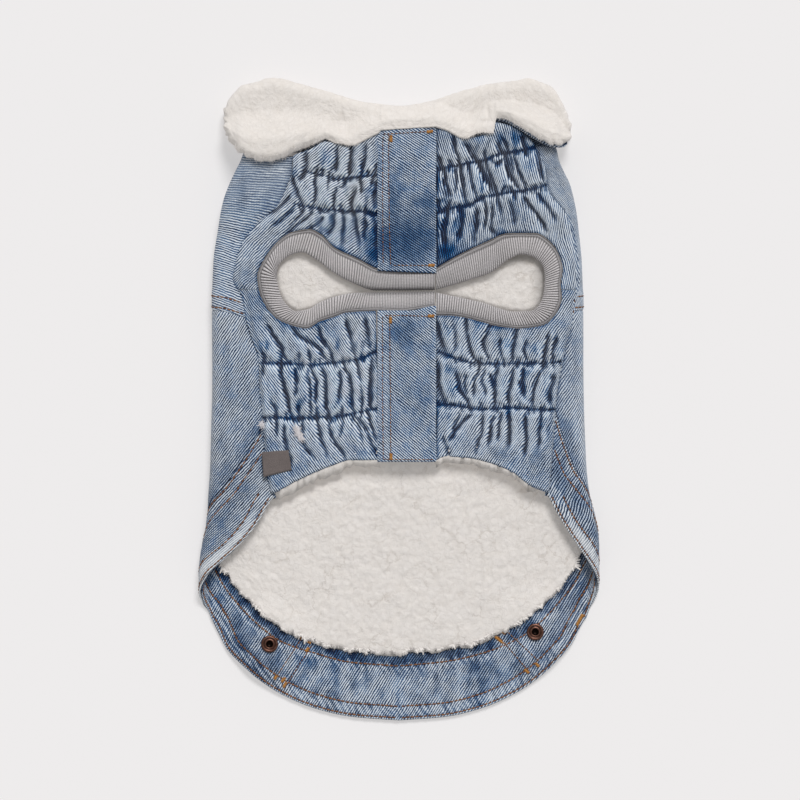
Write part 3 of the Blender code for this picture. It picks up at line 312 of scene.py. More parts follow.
# Places where the wash left the denim dark: x, y, radius, strength.
DARK_PATCHES = (
    # chest left
    (-42.2, 143.7, 4.2, 0.8), (-60.7, 135.7, 2.4, 0.8), (-22, 137.1, 4.2, 0.9), (-15.7, 125.7, 3.6, 0.9),
    (-15.2, 111.3, 4.8, 1), (-28, 104.1, 4.2, 0.8), (-41.2, 107.7, 3.0, 0.5), (-31.6, 129.9, 2.4, 0.6),
    (-16, 98.7, 6.6, 1), (-14.2, 86.7, 5.4, 1), (-34.6, 100.5, 3.0, 0.5), (-57.4, 149.7, 2.4, 0.6),
    (-19, 143.7, 2.4, 0.4), (-48.4, 129.9, 1.8, 0.3), (-25.6, 143.7, 1.8, 0.4), (-65.2, 112.5, 3.6, 0.6),
    (-72.4, 106.5, 3.6, 0.4), (-34.6, 87.3, 4.8, 0.7),
    (-30.0, 101.0, 6.0, 0.7), (-46.0, 101.0, 4.5, 0.6), (-21.0, 107.0, 4.0, 0.6),
    (45.0, 106.0, 5.0, 0.55), (33.0, 103.0, 5.0, 0.5), (66.0, 142.0, 3.6, 0.5), (42.0, 140.0, 3.0, 0.5),
    # chest right
    (31.2, 136.9, 2.4, 0.9), (24.8, 129.3, 3.6, 0.9), (50, 131.9, 3.0, 0.9), (58.6, 140.1, 2.4, 0.7),
    (74.6, 144.9, 3.6, 0.7), (86, 122.1, 3.6, 0.9), (63.5, 127.9, 1.8, 0.6), (38.6, 111.3, 4.8, 0.9),
    (29.6, 104.7, 6.0, 1), (61.1, 99.3, 3.0, 0.5), (49.6, 125.7, 2.4, 0.7), (68, 120.3, 2.4, 0.6),
    (54.6, 143.7, 2.4, 0.5), (36.8, 98.7, 5.4, 0.7), (78.8, 140.7, 4.8, 0.5), (25.4, 116.1, 3.0, 0.8),
    (48.8, 155.7, 3.6, 0.5), (69.8, 155.7, 5.4, 0.8), (80, 150.9, 4.8, 0.8), (88.4, 136.5, 3.0, 0.7),
    (29, 89.7, 5.4, 1), (32, 155.7, 3.0, 0.5), (41.6, 149.7, 1.8, 0.5), (62, 155.7, 3.0, 0.6),
    # belly left
    (-79.4, 32.1, 3.6, 0.8), (-62.8, 15.9, 3.0, 0.7), (-50.8, 6.9, 3.0, 0.7), (-59.8, -3.3, 3.0, 0.6),
    (-46.2, -6.9, 2.4, 0.8), (-38.7, -3.3, 2.4, 0.7), (-29, -0.9, 3.0, 0.8), (-49, 24.3, 3.0, 0.6),
    (-13.6, 5.1, 3.6, 0.8), (-20.2, 24.9, 3.0, 0.9), (-37.6, -12.9, 2.4, 0.6), (-65.2, -10.5, 3.0, 0.6),
    (-35.8, 30.9, 3.0, 0.5), (-13, 34.5, 4.2, 0.9), (-71.8, 26.1, 2.4, 0.4), (-46, 36.9, 3.6, 0.5),
    (-14.2, 16.5, 2.4, 0.3), (-32.2, 41.7, 3.0, 0.4), (-77.2, -24.3, 3.6, 0.3), (-13.6, -31.5, 3.0, 0.5),
    (-46, 44.7, 4.8, 0.5), (-68.8, 41.7, 3.0, 0.3),
    # belly right
    (48.1, 36.9, 4.8, 0.5), (63.8, 32.7, 4.8, 0.6), (81.2, 29.7, 3.0, 0.6), (29.2, 19.5, 3.6, 0.9),
    (33.2, 6.3, 4.2, 1), (63.7, 12.3, 3.0, 0.7), (76.4, 15.3, 3.6, 0.8), (74.6, 6.9, 3.0, 0.7),
    (75.4, 0.3, 2.4, 0.5), (64.4, 3.3, 2.4, 0.6), (25.4, -6.3, 3.6, 0.9), (65.6, -8.1, 3.0, 0.9),
    (86.6, -14.1, 3.6, 0.6), (96.2, 32.1, 3.6, 0.4), (34.4, -22.5, 3.6, 0.6), (74.6, -16.5, 2.4, 0.5),
    (30.8, 26.7, 3.0, 0.8), (60.8, 44.7, 6.0, 0.5), (47.6, 44.7, 4.8, 0.4), (89.6, 2.7, 3.0, 0.4),
    (27.2, 41.7, 3.6, 0.9), (56, 11.1, 2.4, 0.9),
)


# ---------------------------------------------------------------- curves
def smooth_curve(knots, values):
    """A smooth curve through a table's rows that never overshoots them."""
    x, y = np.array(knots, float), np.array(values, float)
    h = np.diff(x)
    d = np.diff(y) / h
    m = np.zeros_like(y)
    m[0], m[-1] = d[0], d[-1]
    for i in range(1, len(x) - 1):
        if d[i - 1] * d[i] > 0:
            a, b = 2 * h[i] + h[i - 1], h[i] + 2 * h[i - 1]
            m[i] = (a + b) / (a / d[i - 1] + b / d[i])

    def at(t):
        t = np.clip(np.asarray(t, float), x[0], x[-1])
        i = np.clip(np.searchsorted(x, t) - 1, 0, len(h) - 1)
        u = (t - x[i]) / h[i]
        return (
            y[i] * (1 + 2 * u) * (1 - u) ** 2
            + m[i] * h[i] * u * (1 - u) ** 2
            + y[i + 1] * u * u * (3 - 2 * u)
            + m[i + 1] * h[i] * u * u * (u - 1)
        )

    return at


def column(data, key, name):
    return smooth_curve(data[key], data[name])


def ease(t):
    t = np.clip(t, 0.0, 1.0)
    return t * t * (3 - 2 * t)


half_width = {-1: column(WIDTHS, "y", "left"), 1: column(WIDTHS, "y", "right")}
seam_x = {-1: column(SIDE_SEAM, "y", "left"), 1: column(SIDE_SEAM, "y", "right")}
wrap_line = {
    (line, side): column(WRAP_LINES, "wrap", line + end)
    for line in ("hem", "band", "face")
    for side, end in ((-1, "_l"), (1, "_r"))
}
yoke_seam = column(YOKE_SEAM, "wrap", "y")
yoke_neck = {-1: column(YOKE_NECK, "wrap", "left"), 1: column(YOKE_NECK, "wrap", "right")}


def lift(y):
    """Height of the back's underside, over the collar leaf near the neck."""
    return LEAF_LIFT * ease((y - LIFT_FROM) / (LIFT_TO - LIFT_FROM))


def top(y):
    """Height of the laid tube's upper skin."""
    return BODY_HEIGHT + (NECK_HEIGHT - BODY_HEIGHT) * ease((y - LIFT_FROM + 8) / 30.0)




# ---------------------------------------------------------------- noise
def lattice(ix, iy, seed):
    n = (ix.astype(np.int64) * 374761393 + iy.astype(np.int64) * 668265263 + seed * 974634777) & 0xFFFFFFFF
    n = ((n ^ (n >> 13)) * 1274126177) & 0xFFFFFFFF
    n = ((n ^ (n >> 15)) * 2246822519) & 0xFFFFFFFF
    return ((n ^ (n >> 16)) & 0xFFFFFF) / float(0xFFFFFF)


def value_noise(x, y, seed):
    ix, iy = np.floor(x), np.floor(y)
    fx, fy = x - ix, y - iy
    ux, uy = fx * fx * (3 - 2 * fx), fy * fy * (3 - 2 * fy)
    a, b = lattice(ix, iy, seed), lattice(ix + 1, iy, seed)
    c, d = lattice(ix, iy + 1, seed), lattice(ix + 1, iy + 1, seed)
    return (a * (1 - ux) + b * ux) * (1 - uy) + (c * (1 - ux) + d * ux) * uy


def cloud(x, y, size, seed, octaves=3):
    """Soft noise from -1 to 1 whose largest blobs are about this size."""
    total, weight, amount = 0.0, 0.0, 1.0
    for k in range(octaves):
        total = total + amount * (2 * value_noise(x / size + 17.3 * k, y / size - 9.1 * k, seed + k) - 1)
        weight += amount
        amount *= 0.55
        size *= 0.5
    return total / weight * 1.5


def lumps(x, y, size, seed):
    """Round heaps packed side by side: 1 on the middle of each, about 0 between them.
    Also gives each point's own heap number, from 0 to 1."""
    gx, gy = x / size, y / size
    ix, iy = np.floor(gx), np.floor(gy)
    best = np.full(np.shape(gx), 9.0)
    second = np.full(np.shape(gx), 9.0)
    own = np.zeros(np.shape(gx))
    for dx in (-1, 0, 1):
        for dy in (-1, 0, 1):
            jx, jy = ix + dx, iy + dy
            px = jx + 0.5 + 0.85 * (lattice(jx, jy, seed) - 0.5)
            py = jy + 0.5 + 0.85 * (lattice(jx, jy, seed + 7) - 0.5)
            d = np.hypot(gx - px, gy - py)
            own = np.where(d < best, lattice(jx, jy, seed + 13), own)
            second = np.minimum(second, np.maximum(d, best))
            best = np.minimum(best, d)
    edge = np.clip((second - best) / 0.55, 0, 1)
    return np.sqrt(np.clip(1 - (1 - edge) ** 2, 0, 1)) * (1 - 0.35 * best), own


# ---------------------------------------------------------------- maps over the garment
class Map:
    """A field over the jacket in plan, in even steps."""

    def __init__(self, x0, y0, x1, y1, step):
        self.x0, self.y0, self.step = x0, y0, step
        self.xs = np.arange(x0, x1 + step, step)
        self.ys = np.arange(y0, y1 + step, step)
        self.X, self.Y = np.meshgrid(self.xs, self.ys, indexing="ij")

    def zeros(self):
        return np.zeros(self.X.shape)

    def window(self, pts, reach):
        lo = np.min(pts, axis=0) - reach
        hi = np.max(pts, axis=0) + reach
        i0, i1 = np.searchsorted(self.xs, (lo[0], hi[0]))
        j0, j1 = np.searchsorted(self.ys, (lo[1], hi[1]))
        return slice(i0, max(i1, i0 + 1)), slice(j0, max(j1, j0 + 1))

    def at(self, field, x, y):
        gx = np.clip((x - self.x0) / self.step, 0, len(self.xs) - 1.001)
        gy = np.clip((y - self.y0) / self.step, 0, len(self.ys) - 1.001)
        i, j = gx.astype(int), gy.astype(int)
        fx, fy = gx - i, gy - j
        return (
            field[i, j] * (1 - fx) * (1 - fy) + field[i + 1, j] * fx * (1 - fy)
            + field[i, j + 1] * (1 - fx) * fy + field[i + 1, j + 1] * fx * fy
        )


def blur(field, radius):
    """Gaussian blur by this many cells, edges held."""
    n = max(1, int(3 * radius))
    k = np.exp(-0.5 * (np.arange(-n, n + 1) / radius) ** 2)
    k /= k.sum()
    for axis in (0, 1):
        padded = np.pad(field, [(n, n) if a == axis else (0, 0) for a in (0, 1)], mode="edge")
        out = np.zeros(field.shape)
        size = field.shape[axis]
        for i, w in enumerate(k):
            out += w * (padded[i : i + size] if axis == 0 else padded[:, i : i + size])
        field = out
    return field


def smooth_path(pts, step=1.2):
    """Evenly spaced points on a smooth curve through these."""
    pts = np.array(pts, float)
    if len(pts) == 2:
        n = max(2, int(np.hypot(*(pts[1] - pts[0])) / step) + 1)
        return pts[0] + (pts[1] - pts[0]) * np.linspace(0, 1, n)[:, None]
    p = np.vstack([2 * pts[0] - pts[1], pts, 2 * pts[-1] - pts[-2]])
    out = []
    for i in range(1, len(p) - 2):
        n = max(2, int(np.linalg.norm(p[i + 1] - p[i]) / (step / 3)))
        t = np.linspace(0, 1, n, endpoint=False)[:, None]
        out.append(
            0.5 * (2 * p[i] + (p[i + 1] - p[i - 1]) * t
                   + (2 * p[i - 1] - 5 * p[i] + 4 * p[i + 1] - p[i + 2]) * t ** 2
                   + (3 * p[i] - p[i - 1] - 3 * p[i + 1] + p[i + 2]) * t ** 3)
        )
    fine = np.vstack(out + [p[-2][None]])
    run = np.concatenate([[0], np.cumsum(np.linalg.norm(np.diff(fine, axis=0), axis=1))])
    n = max(2, int(run[-1] / step) + 1)
    at = np.linspace(0, run[-1], n)
    return np.stack([np.interp(at, run, fine[:, k]) for k in range(fine.shape[1])], axis=1)


def near_path(X, Y, path):
    """Distance to a path, the side it is on (-1 or 1) and how far along it (0 to 1)."""
    best = np.full(X.shape, 1e9)
    side = np.zeros(X.shape)
    along = np.zeros(X.shape)
    n = len(path) - 1
    for i in range(n):
        ax, ay = path[i][:2]
        dx, dy = path[i + 1][0] - ax, path[i + 1][1] - ay
        q = dx * dx + dy * dy + 1e-9
        t = np.clip(((X - ax) * dx + (Y - ay) * dy) / q, 0, 1)
        ex, ey = X - ax - t * dx, Y - ay - t * dy
        d = np.hypot(ex, ey)
        closer = d < best
        best = np.where(closer, d, best)
        side = np.where(closer, np.sign(ex * dy - ey * dx), side)
        along = np.where(closer, (i + t) / n, along)
    return best, side, along


# ---------------------------------------------------------------- the wash
# How the denim fades: share of the way from raw to bleached, then its colour on screen.
WASH = table(
    "share r g b",
    (0.00, 12, 22, 46), (0.15, 34, 56, 92), (0.30, 66, 94, 130), (0.45, 98, 122, 152),
    (0.60, 130, 147, 169), (0.75, 160, 172, 187), (0.90, 190, 199, 209), (1.00, 214, 220, 226),
)


def linear(c):
    c = np.asarray(c, float) / 255.0
    return np.where(c <= 0.04045, c / 12.92, ((c + 0.055) / 1.055) ** 2.4)


def denim_colour(wash, grey=0.0, crisp=1.0):
    """What the denim materials read: how washed out the cloth is, how grey, and how
    strongly its twill shows."""
    w = np.asarray(wash, float)
    return np.stack([np.clip(w, 0, 1.1), 0.5 + 0.5 * np.clip(grey + 0 * w, -0.8, 1), 0.5 * crisp + 0 * w], axis=-1)


# ---------------------------------------------------------------- meshes
MATERIALS = {}


def shell(name, outer, inner, step, colour, uv, material, closed=False):
    """A closed thin wall: its outer skin on this grid, its inner one on every step-th
    point of the inner grid. closed joins the first and last rows."""
    n, m = outer.shape[:2]
    rows = list(range(0, n, step[0]))
    cols = list(range(0, m, step[1]))
    if rows[-1] != n - 1 and not closed:
        rows.append(n - 1)
    if cols[-1] != m - 1:
        cols.append(m - 1)
    rn, cn = len(rows), len(cols)
    low = inner[np.ix_(rows, cols)]
    verts = np.vstack([outer.reshape(-1, 3), low.reshape(-1, 3)])
    base = n * m
    idx = np.arange(n * m).reshape(n, m)
    if closed:
        idx = np.vstack([idx, idx[:1]])
    quads = np.stack([idx[:-1, :-1], idx[1:, :-1], idx[1:, 1:], idx[:-1, 1:]], axis=-1).reshape(-1, 4)
    jdx = base + np.arange(rn * cn).reshape(rn, cn)
    if closed:
        jdx = np.vstack([jdx, jdx[:1]])
        rows = rows + [n]
    back = np.stack([jdx[:-1, :-1], jdx[:-1, 1:], jdx[1:, 1:], jdx[1:, :-1]], axis=-1).reshape(-1, 4)
    faces = quads.tolist() + back.tolist()
    for k in range(len(rows) - 1):
        for j, lj, flip in ((0, 0, False), (m - 1, cn - 1, True)):
            run = [int(idx[i, j]) for i in range(rows[k], rows[k + 1] + 1)]
            ring = run + [int(jdx[k + 1, lj]), int(jdx[k, lj])]
            faces.append(ring if flip else ring[::-1])
    if not closed:
        for k in range(len(cols) - 1):
            for i, li, flip in ((0, 0, True), (n - 1, rn - 1, False)):
                run = [int(idx[i, j]) for j in range(cols[k], cols[k + 1] + 1)]
                ring = run + [int(jdx[li, k + 1]), int(jdx[li, k])]
                faces.append(ring if flip else ring[::-1])
    sel = np.ix_(rows[: rn], cols)
    colours = np.vstack([colour.reshape(-1, 3), colour[sel].reshape(-1, 3)])
    wall = np.linalg.norm(outer[sel] - low, axis=-1)[..., None] * [0.35, 0.70]
    uvs = np.vstack([uv.reshape(-1, 2), (uv[sel] + wall).reshape(-1, 2)])
    return make_mesh(name, verts, faces, colours, uvs, material)


def make_mesh(name, verts, faces, colours, uvs, material, fix=True):
    verts = np.asarray(verts, float)
    if fix:
        quads = np.array([f[:4] for f in faces if len(f) == 4])
        a, b, c, d = (verts[quads[:, k]] for k in range(4))
        volume = np.einsum("ij,ij->i", a, np.cross(b, c)).sum() + np.einsum("ij,ij->i", a, np.cross(c, d)).sum()
        if volume < 0:
            faces = [f[::-1] for f in faces]
    mesh = bpy.data.meshes.new(name)
    mesh.from_pydata((verts * MM).tolist(), [], faces)
    mesh.shade_smooth()
    if colours is not None:
        layer = mesh.color_attributes.new("shade", "FLOAT_COLOR", "POINT")
        rgba = np.ones((len(verts), 4), np.float32)
        rgba[:, :3] = colours
        layer.data.foreach_set("color", rgba.ravel())
    if uvs is not None:
        layer = mesh.uv_layers.new(name="weave")
        corner = np.empty(len(mesh.loops), np.int32)
        mesh.loops.foreach_get("vertex_index", corner)
        layer.data.foreach_set("uv", np.asarray(uvs, np.float32)[corner].ravel())
    mesh.materials.append(MATERIALS[material])
    mesh.validate()
    obj = bpy.data.objects.new(name, mesh)
    bpy.context.collection.objects.link(obj)
    TRIANGLES[name] = sum(len(f) - 2 for f in faces)
    return obj


TRIANGLES = {}


def normals(grid):
    """Unit normals of a grid of points."""
    du = np.gradient(grid, axis=0)
    dv = np.gradient(grid, axis=1)
    n = np.cross(du, dv)
    return n / (np.linalg.norm(n, axis=-1, keepdims=True) + 1e-12)


# ---------------------------------------------------------------- the laid tube
def button_rise(x, y):
    rise = 0.0
    for bx, by in zip(BUTTONS["x"], BUTTONS["y"]):
        rise = np.maximum(rise, BUTTON_LIFT * ease((32.0 - np.hypot(x - bx, y - by)) / 18.0))
    return rise


def tube_frame(side, y):
    low, high = lift(y), top(y)
    r = (high - low) / 2
    hw = np.where(side < 0, half_width[-1](y), half_width[1](y))
    sx = np.where(side < 0, seam_x[-1](y), seam_x[1](y))
    return low, high, r, hw - r, sx


UNDER = 20.0  # how far the cloth goes on under the fronts, by each unit of wrap past 3


def tube(wrap, y, depth):
    """Points of the laid tube, at a depth under its outer skin."""
    side, a = np.where(wrap < 0, -1.0, 1.0), np.abs(wrap)
    low, high, r, x0, sx = tube_frame(side, y)
    turn = (np.clip(a, 1, 2) - 1) * math.pi
    x = np.where(a <= 1, a * x0, np.where(a <= 2, x0 + (r - depth) * np.sin(turn), x0 + (np.minimum(a, 3) - 2) * (sx - x0)))
    x = x - UNDER * np.clip(a - 3, 0, None)
    z = np.where(a <= 1, low + depth, np.where(a <= 2, low + r - (r - depth) * np.cos(turn), high - depth))
    z = z + np.where(a <= 1, button_rise(side * x, y) * ease((1.0 - a) / 0.2), 0.0)
    return np.stack([side * x, y + 0 * x, z], axis=-1)


def skin_height(x, y):
    """Height of the laid tube's outer skin on top, in plan."""
    low, high, r, x0, _ = tube_frame(np.where(x < 0, -1.0, 1.0), y)
    out = np.clip((np.abs(x) - x0) / r, 0, 0.98)
    return high - r + r * np.sqrt(1 - out ** 2)


def round_run(wrap, y):
    """Distance round the tube from the middle of the back, with the side's sign."""
    side, a = np.where(wrap < 0, -1.0, 1.0), np.abs(wrap)
    low, high, r, x0, sx = tube_frame(side, y)
    s = np.where(a <= 1, a * x0, np.where(a <= 2, x0 + (a - 1) * math.pi * r, x0 + math.pi * r + (np.minimum(a, 3) - 2) * (x0 - sx)))
    return side * (s + UNDER * np.clip(a - 3, 0, None))


def wrap_at(side, s, y):
    """The wrap at a distance round the tube."""
    side = np.full(np.shape(s), float(side))
    low, high, r, x0, sx = tube_frame(side, y)
    a = np.where(s <= x0, s / x0, np.where(s <= x0 + math.pi * r, 1 + (s - x0) / (math.pi * r), 2 + (s - x0 - math.pi * r) / (x0 - sx)))
    return a


def line_path(name, side, inset, a0=0.0, a1=3.0, count=400):
    """A line round one side of the tube, moved this far up the cloth from its own edge,
    as its wraps and heights."""
    a = np.linspace(max(a0 - 0.3, 0), min(a1 + 0.3, 3.0), count)
    y = wrap_line[name, side](a)
    s = np.abs(round_run(side * np.maximum(a, 1e-6), y))
    ds, dy = np.gradient(s), np.gradient(y)
    n = np.hypot(ds, dy) + 1e-9
    s2, y2 = s - dy / n * inset, y + ds / n * inset
    a2 = wrap_at(side, np.maximum(s2, 0), y2)
    keep = (a2 >= a0) & (a2 <= a1) & (s2 >= 0)
    return a2[keep], y2[keep]


def line_gap(name, wrap, y):
    """Distance up the cloth from one of the lines round the tube, on either side."""
    out = np.zeros(np.broadcast(wrap, y).shape)
    for side in (-1, 1):
        a = np.linspace(0, 3, 160)
        ly = wrap_line[name, side](a)
        ls = np.abs(round_run(side * np.maximum(a, 1e-6), ly))
        path = np.stack([ls, ly], axis=1)
        mask = (wrap < 0) if side < 0 else (wrap >= 0)
        s = np.abs(round_run(wrap, y))
        d, _, _ = near_path(s[mask], y[mask], path)
        below = y[mask] < np.interp(s[mask], ls, ly)
        out[mask] = np.where(below, -d, d)
    return out


def uneven(a_breaks, counts):
    """Stations between these breaks, with so many steps in each stretch."""
    out = [np.linspace(a, b, n, endpoint=False) for a, b, n in zip(a_breaks, a_breaks[1:], counts)]
    return np.concatenate(out + [[a_breaks[-1]]])


def both_sides(a):
    return np.concatenate([-a[:0:-1], a])


def weave_uv(across, up, degrees, pitch=TWILL_PITCH):
    """Cloth coordinates: along a twill line, then across it, in twill pitches."""
    t = np.radians(degrees)
    u = across * np.cos(t) + up * np.sin(t)
    v = -across * np.sin(t) + up * np.cos(t)
    return np.stack([u, v], axis=-1) / pitch


# ---------------------------------------------------------------- materials
def new_material(name, sheen=0.0, metallic=0.0, roughness=0.85, specular=0.35):
    m = bpy.data.materials.new(name)
    m.use_nodes = True
    m.node_tree.nodes.clear()
    t = m.node_tree
    out = t.nodes.new("ShaderNodeOutputMaterial")
    shader = t.nodes.new("ShaderNodeBsdfPrincipled")
    t.links.new(shader.outputs[0], out.inputs[0])
    shader.inputs["Roughness"].default_value = roughness
    shader.inputs["Metallic"].default_value = metallic
    shader.inputs["Specular IOR Level"].default_value = specular
    if sheen:
        shader.inputs["Sheen Weight"].default_value = sheen
        shader.inputs["Sheen Roughness"].default_value = 0.45
    MATERIALS[name] = m
    return t, shader


class Graph:
    """Short names for the nodes that the materials use."""

    def __init__(self, tree):
        self.t = tree

    def put(self, socket, value):
        if isinstance(value, bpy.types.NodeSocket):
            self.t.links.new(value, socket)
        elif value is not None:
            socket.default_value = value

    def math(self, op, a, b=None, c=None, clamp=False):
        n = self.t.nodes.new("ShaderNodeMath")
        n.operation, n.use_clamp = op, clamp
        for s, v in zip(n.inputs, (a, b, c)):
            self.put(s, v)
        return n.outputs[0]

    def mix(self, blend, factor, a, b):
        n = self.t.nodes.new("ShaderNodeMixRGB")
        n.blend_type = blend
        for s, v in zip(n.inputs, (factor, a, b)):
            self.put(s, (*v, 1.0) if isinstance(v, tuple) and len(v) == 3 else v)
        return n.outputs[0]

    def noise(self, vector, scale, detail=2.0, rough=0.5):
        n = self.t.nodes.new("ShaderNodeTexNoise")
        self.put(n.inputs["Vector"], vector)
        n.inputs["Scale"].default_value = scale
        n.inputs["Detail"].default_value = detail
        n.inputs["Roughness"].default_value = rough
        return n.outputs[0]

    def cells(self, vector, scale):
        n = self.t.nodes.new("ShaderNodeTexVoronoi")
        n.feature = "DISTANCE_TO_EDGE"
        self.put(n.inputs["Vector"], vector)
        n.inputs["Scale"].default_value = scale
        return n.outputs["Distance"]

    def join(self, x, y, z=0.0):
        n = self.t.nodes.new("ShaderNodeCombineXYZ")
        for s, v in zip(n.inputs, (x, y, z)):
            self.put(s, v)
        return n.outputs[0]

    def stretch(self, value, low, high, to_low=0.0, to_high=1.0):
        n = self.t.nodes.new("ShaderNodeMapRange")
        self.put(n.inputs[0], value)
        for k, v in enumerate((low, high, to_low, to_high)):
            n.inputs[k + 1].default_value = v
        return n.outputs[0]

    def bump(self, height, distance, strength=1.0, normal=None):
        n = self.t.nodes.new("ShaderNodeBump")
        n.inputs["Strength"].default_value = strength
        n.inputs["Distance"].default_value = distance
        self.put(n.inputs["Height"], height)
        self.put(n.inputs["Normal"], normal)
        return n.outputs[0]

    def shade(self):
        n = self.t.nodes.new("ShaderNodeAttribute")
        n.attribute_name = "shade"
        return n.outputs["Color"]

    def split(self, colour):
        n = self.t.nodes.new("ShaderNodeSeparateColor")
        self.put(n.inputs[0], colour)
        return n.outputs[0], n.outputs[1], n.outputs[2]

    def ramp(self, value, stops):
        n = self.t.nodes.new("ShaderNodeValToRGB")
        e = n.color_ramp.elements
        e[0].position, e[1].position = stops[0][0], stops[-1][0]
        e[0].color, e[1].color = (*stops[0][1], 1), (*stops[-1][1], 1)
        for at, colour in stops[1:-1]:
            e.new(at).color = (*colour, 1)
        self.put(n.inputs[0], value)
        return n.outputs[0]

    def saturate(self, colour, value):
        n = self.t.nodes.new("ShaderNodeHueSaturation")
        self.put(n.inputs["Saturation"], value)
        self.put(n.inputs["Color"], colour)
        return n.outputs[0]

    def weave(self):
        n = self.t.nodes.new("ShaderNodeUVMap")
        n.uv_map = "weave"
        s = self.t.nodes.new("ShaderNodeSeparateXYZ")
        self.put(s.inputs[0], n.outputs[0])
        return n.outputs[0], s.outputs[0], s.outputs[1]


def denim_material(name, contrast, roughness):
    """Twill: light weft floats along diagonal lines over the dark warp, with slubs.
    The cloth's wash shifts the whole of it from raw indigo to nearly white."""
    tree, shader = new_material(name, sheen=0.10, roughness=roughness, specular=0.2)
    g = Graph(tree)
    wash, grey, crisp = g.split(g.shade())
    grey = g.math("SUBTRACT", g.math("MULTIPLY", grey, 2.0), 1.0)
    uv, u, v = g.weave()
    drift = g.noise(g.join(g.math("MULTIPLY", u, 0.11), g.math("MULTIPLY", v, 0.16)), 1.0, 3.0)
    jog = g.noise(g.join(g.math("MULTIPLY", u, 0.5), g.math("MULTIPLY", v, 0.9), 5.0), 1.0, 1.0)
    v2 = g.math("ADD", v, g.math("ADD", g.math("MULTIPLY", drift, 1.5), g.math("MULTIPLY", jog, 0.45)))
    twill = g.stretch(g.math("SINE", g.math("MULTIPLY", v2, 2 * math.pi)), -0.75, 0.75, -1.0, 1.0)
    # each line is made of short floats, out of step with the next line's
    floats = g.math("SINE", g.math("ADD", g.math("MULTIPLY", u, 2 * math.pi / 1.15), g.math("MULTIPLY", v2, 2.9)))
    slub = g.stretch(g.noise(g.join(g.math("MULTIPLY", u, 0.3), g.math("MULTIPLY", v, 1.25), 3.0), 1.0, 2.0, 0.6), 0.3, 0.7, -1.0, 1.0)
    grain = g.stretch(g.noise(g.join(g.math("MULTIPLY", u, 1.3), g.math("MULTIPLY", v, 1.5), 8.0), 1.0, 1.0), 0.3, 0.7, -1.0, 1.0)
    height = g.math("ADD", g.math("MULTIPLY", twill, 0.5), g.math("MULTIPLY", floats, 0.14))
    strong = g.stretch(g.noise(g.join(g.math("MULTIPLY", u, 0.16), g.math("MULTIPLY", v, 0.16), 11.0), 1.0, 2.0), 0.3, 0.7, 0.55, 1.15)
    line = g.math("MULTIPLY", g.math("MULTIPLY", twill, 0.86), strong)
    line = g.math("MULTIPLY", line, g.math("MULTIPLY_ADD", floats, 0.18, 0.92))
    f = g.math("ADD", line, g.math("ADD", g.math("MULTIPLY", slub, 0.13), g.math("MULTIPLY", grain, 0.10)))
    f = g.math("ADD", f, g.math("MULTIPLY", floats, 0.10))
    reach = g.math("MULTIPLY", g.math("MULTIPLY_ADD", wash, 1.44 * contrast, 0.40 * contrast), crisp)
    tone = g.math("ADD", wash, g.math("MULTIPLY", f, reach), clamp=True)
    colour = g.saturate(g.ramp(tone, [(share, linear((r, gr, b))) for share, r, gr, b in zip(*WASH.values())]), g.math("SUBTRACT", g.math("MULTIPLY_ADD", tone, 0.28, 1.0), grey))
    g.put(shader.inputs["Base Color"], colour)
    g.put(shader.inputs["Roughness"], g.stretch(grain, -1.0, 1.0, roughness - 0.06, min(roughness + 0.08, 1.0)))
    g.put(shader.inputs["Normal"], g.bump(g.math("ADD", height, g.math("MULTIPLY", grain, 0.25)), 0.00022, 0.9))


def sherpa_material(name, parted):
    """Curly pile: fine loops on the heaps that the mesh has, parted here and there."""
    tree, shader = new_material(name, sheen=0.35, roughness=0.95, specular=0.12)
    g = Graph(tree)
    uv, u, v = g.weave()
    p = g.join(u, v)
    bend = g.noise(p, 1.1, 2.0)
    q = g.join(g.math("ADD", u, g.math("MULTIPLY", bend, 2.2)), g.math("SUBTRACT", v, g.math("MULTIPLY", bend, 2.2)))
    curl = g.noise(q, 2.4, 3.0, 0.6)
    fibre = g.noise(q, 6.5, 2.0, 0.7)
    patch = g.noise(p, 0.12, 2.0)
    colour = g.mix("MULTIPLY", 1.0, g.shade(), g.mix("MIX", g.stretch(curl, 0.3, 0.62), (0.945, 0.935, 0.925), (1.0, 1.0, 1.0)))
    colour = g.mix("MIX", g.stretch(patch, 0.35, 0.7, 0.0, 0.35), colour, g.mix("MULTIPLY", 1.0, colour, (1.0, 0.985, 0.96)))
    # painted shade in fine partings between the curls, in some places only, and in small cracks all over
    sway = g.noise(p, 0.35, 3.0, 0.6)
    sway_2 = g.noise(g.join(u, v, 7.0), 0.35, 3.0, 0.6)
    w = g.join(g.math("MULTIPLY_ADD", sway, 7.0, u), g.math("MULTIPLY_ADD", sway_2, 7.0, v))
    where = g.stretch(g.noise(g.join(u, v, 3.0), 0.07, 2.0), 0.46, 0.60)
    parting = g.math("MULTIPLY", g.stretch(g.cells(w, 0.095), 0.0, 0.045, 1.0, 0.0), where)
    small = g.stretch(g.cells(w, 0.26), 0.0, 0.16, 1.0, 0.0)
    colour = g.mix("MULTIPLY", g.math("MULTIPLY", parting, parted), colour, (0.72, 0.69, 0.655))
    colour = g.mix("MULTIPLY", g.math("MULTIPLY", small, 0.30), colour, (0.88, 0.865, 0.845))
    # a faint glow in the pile's own colour, painted light that lifts its shaded sides; the base colour is dimmed to
    # match
    g.put(shader.inputs["Base Color"], g.mix("MULTIPLY", 1.0, colour, (0.80, 0.80, 0.80)))
    g.put(shader.inputs["Emission Color"], colour)
    shader.inputs["Emission Strength"].default_value = 0.19
    height = g.math("ADD", curl, g.math("MULTIPLY", fibre, 0.5))
    height = g.math("SUBTRACT", height, g.math("ADD", g.math("MULTIPLY", parting, parted), g.math("MULTIPLY", small, 0.5)))
    g.put(shader.inputs["Normal"], g.bump(height, 0.0006, 0.6))


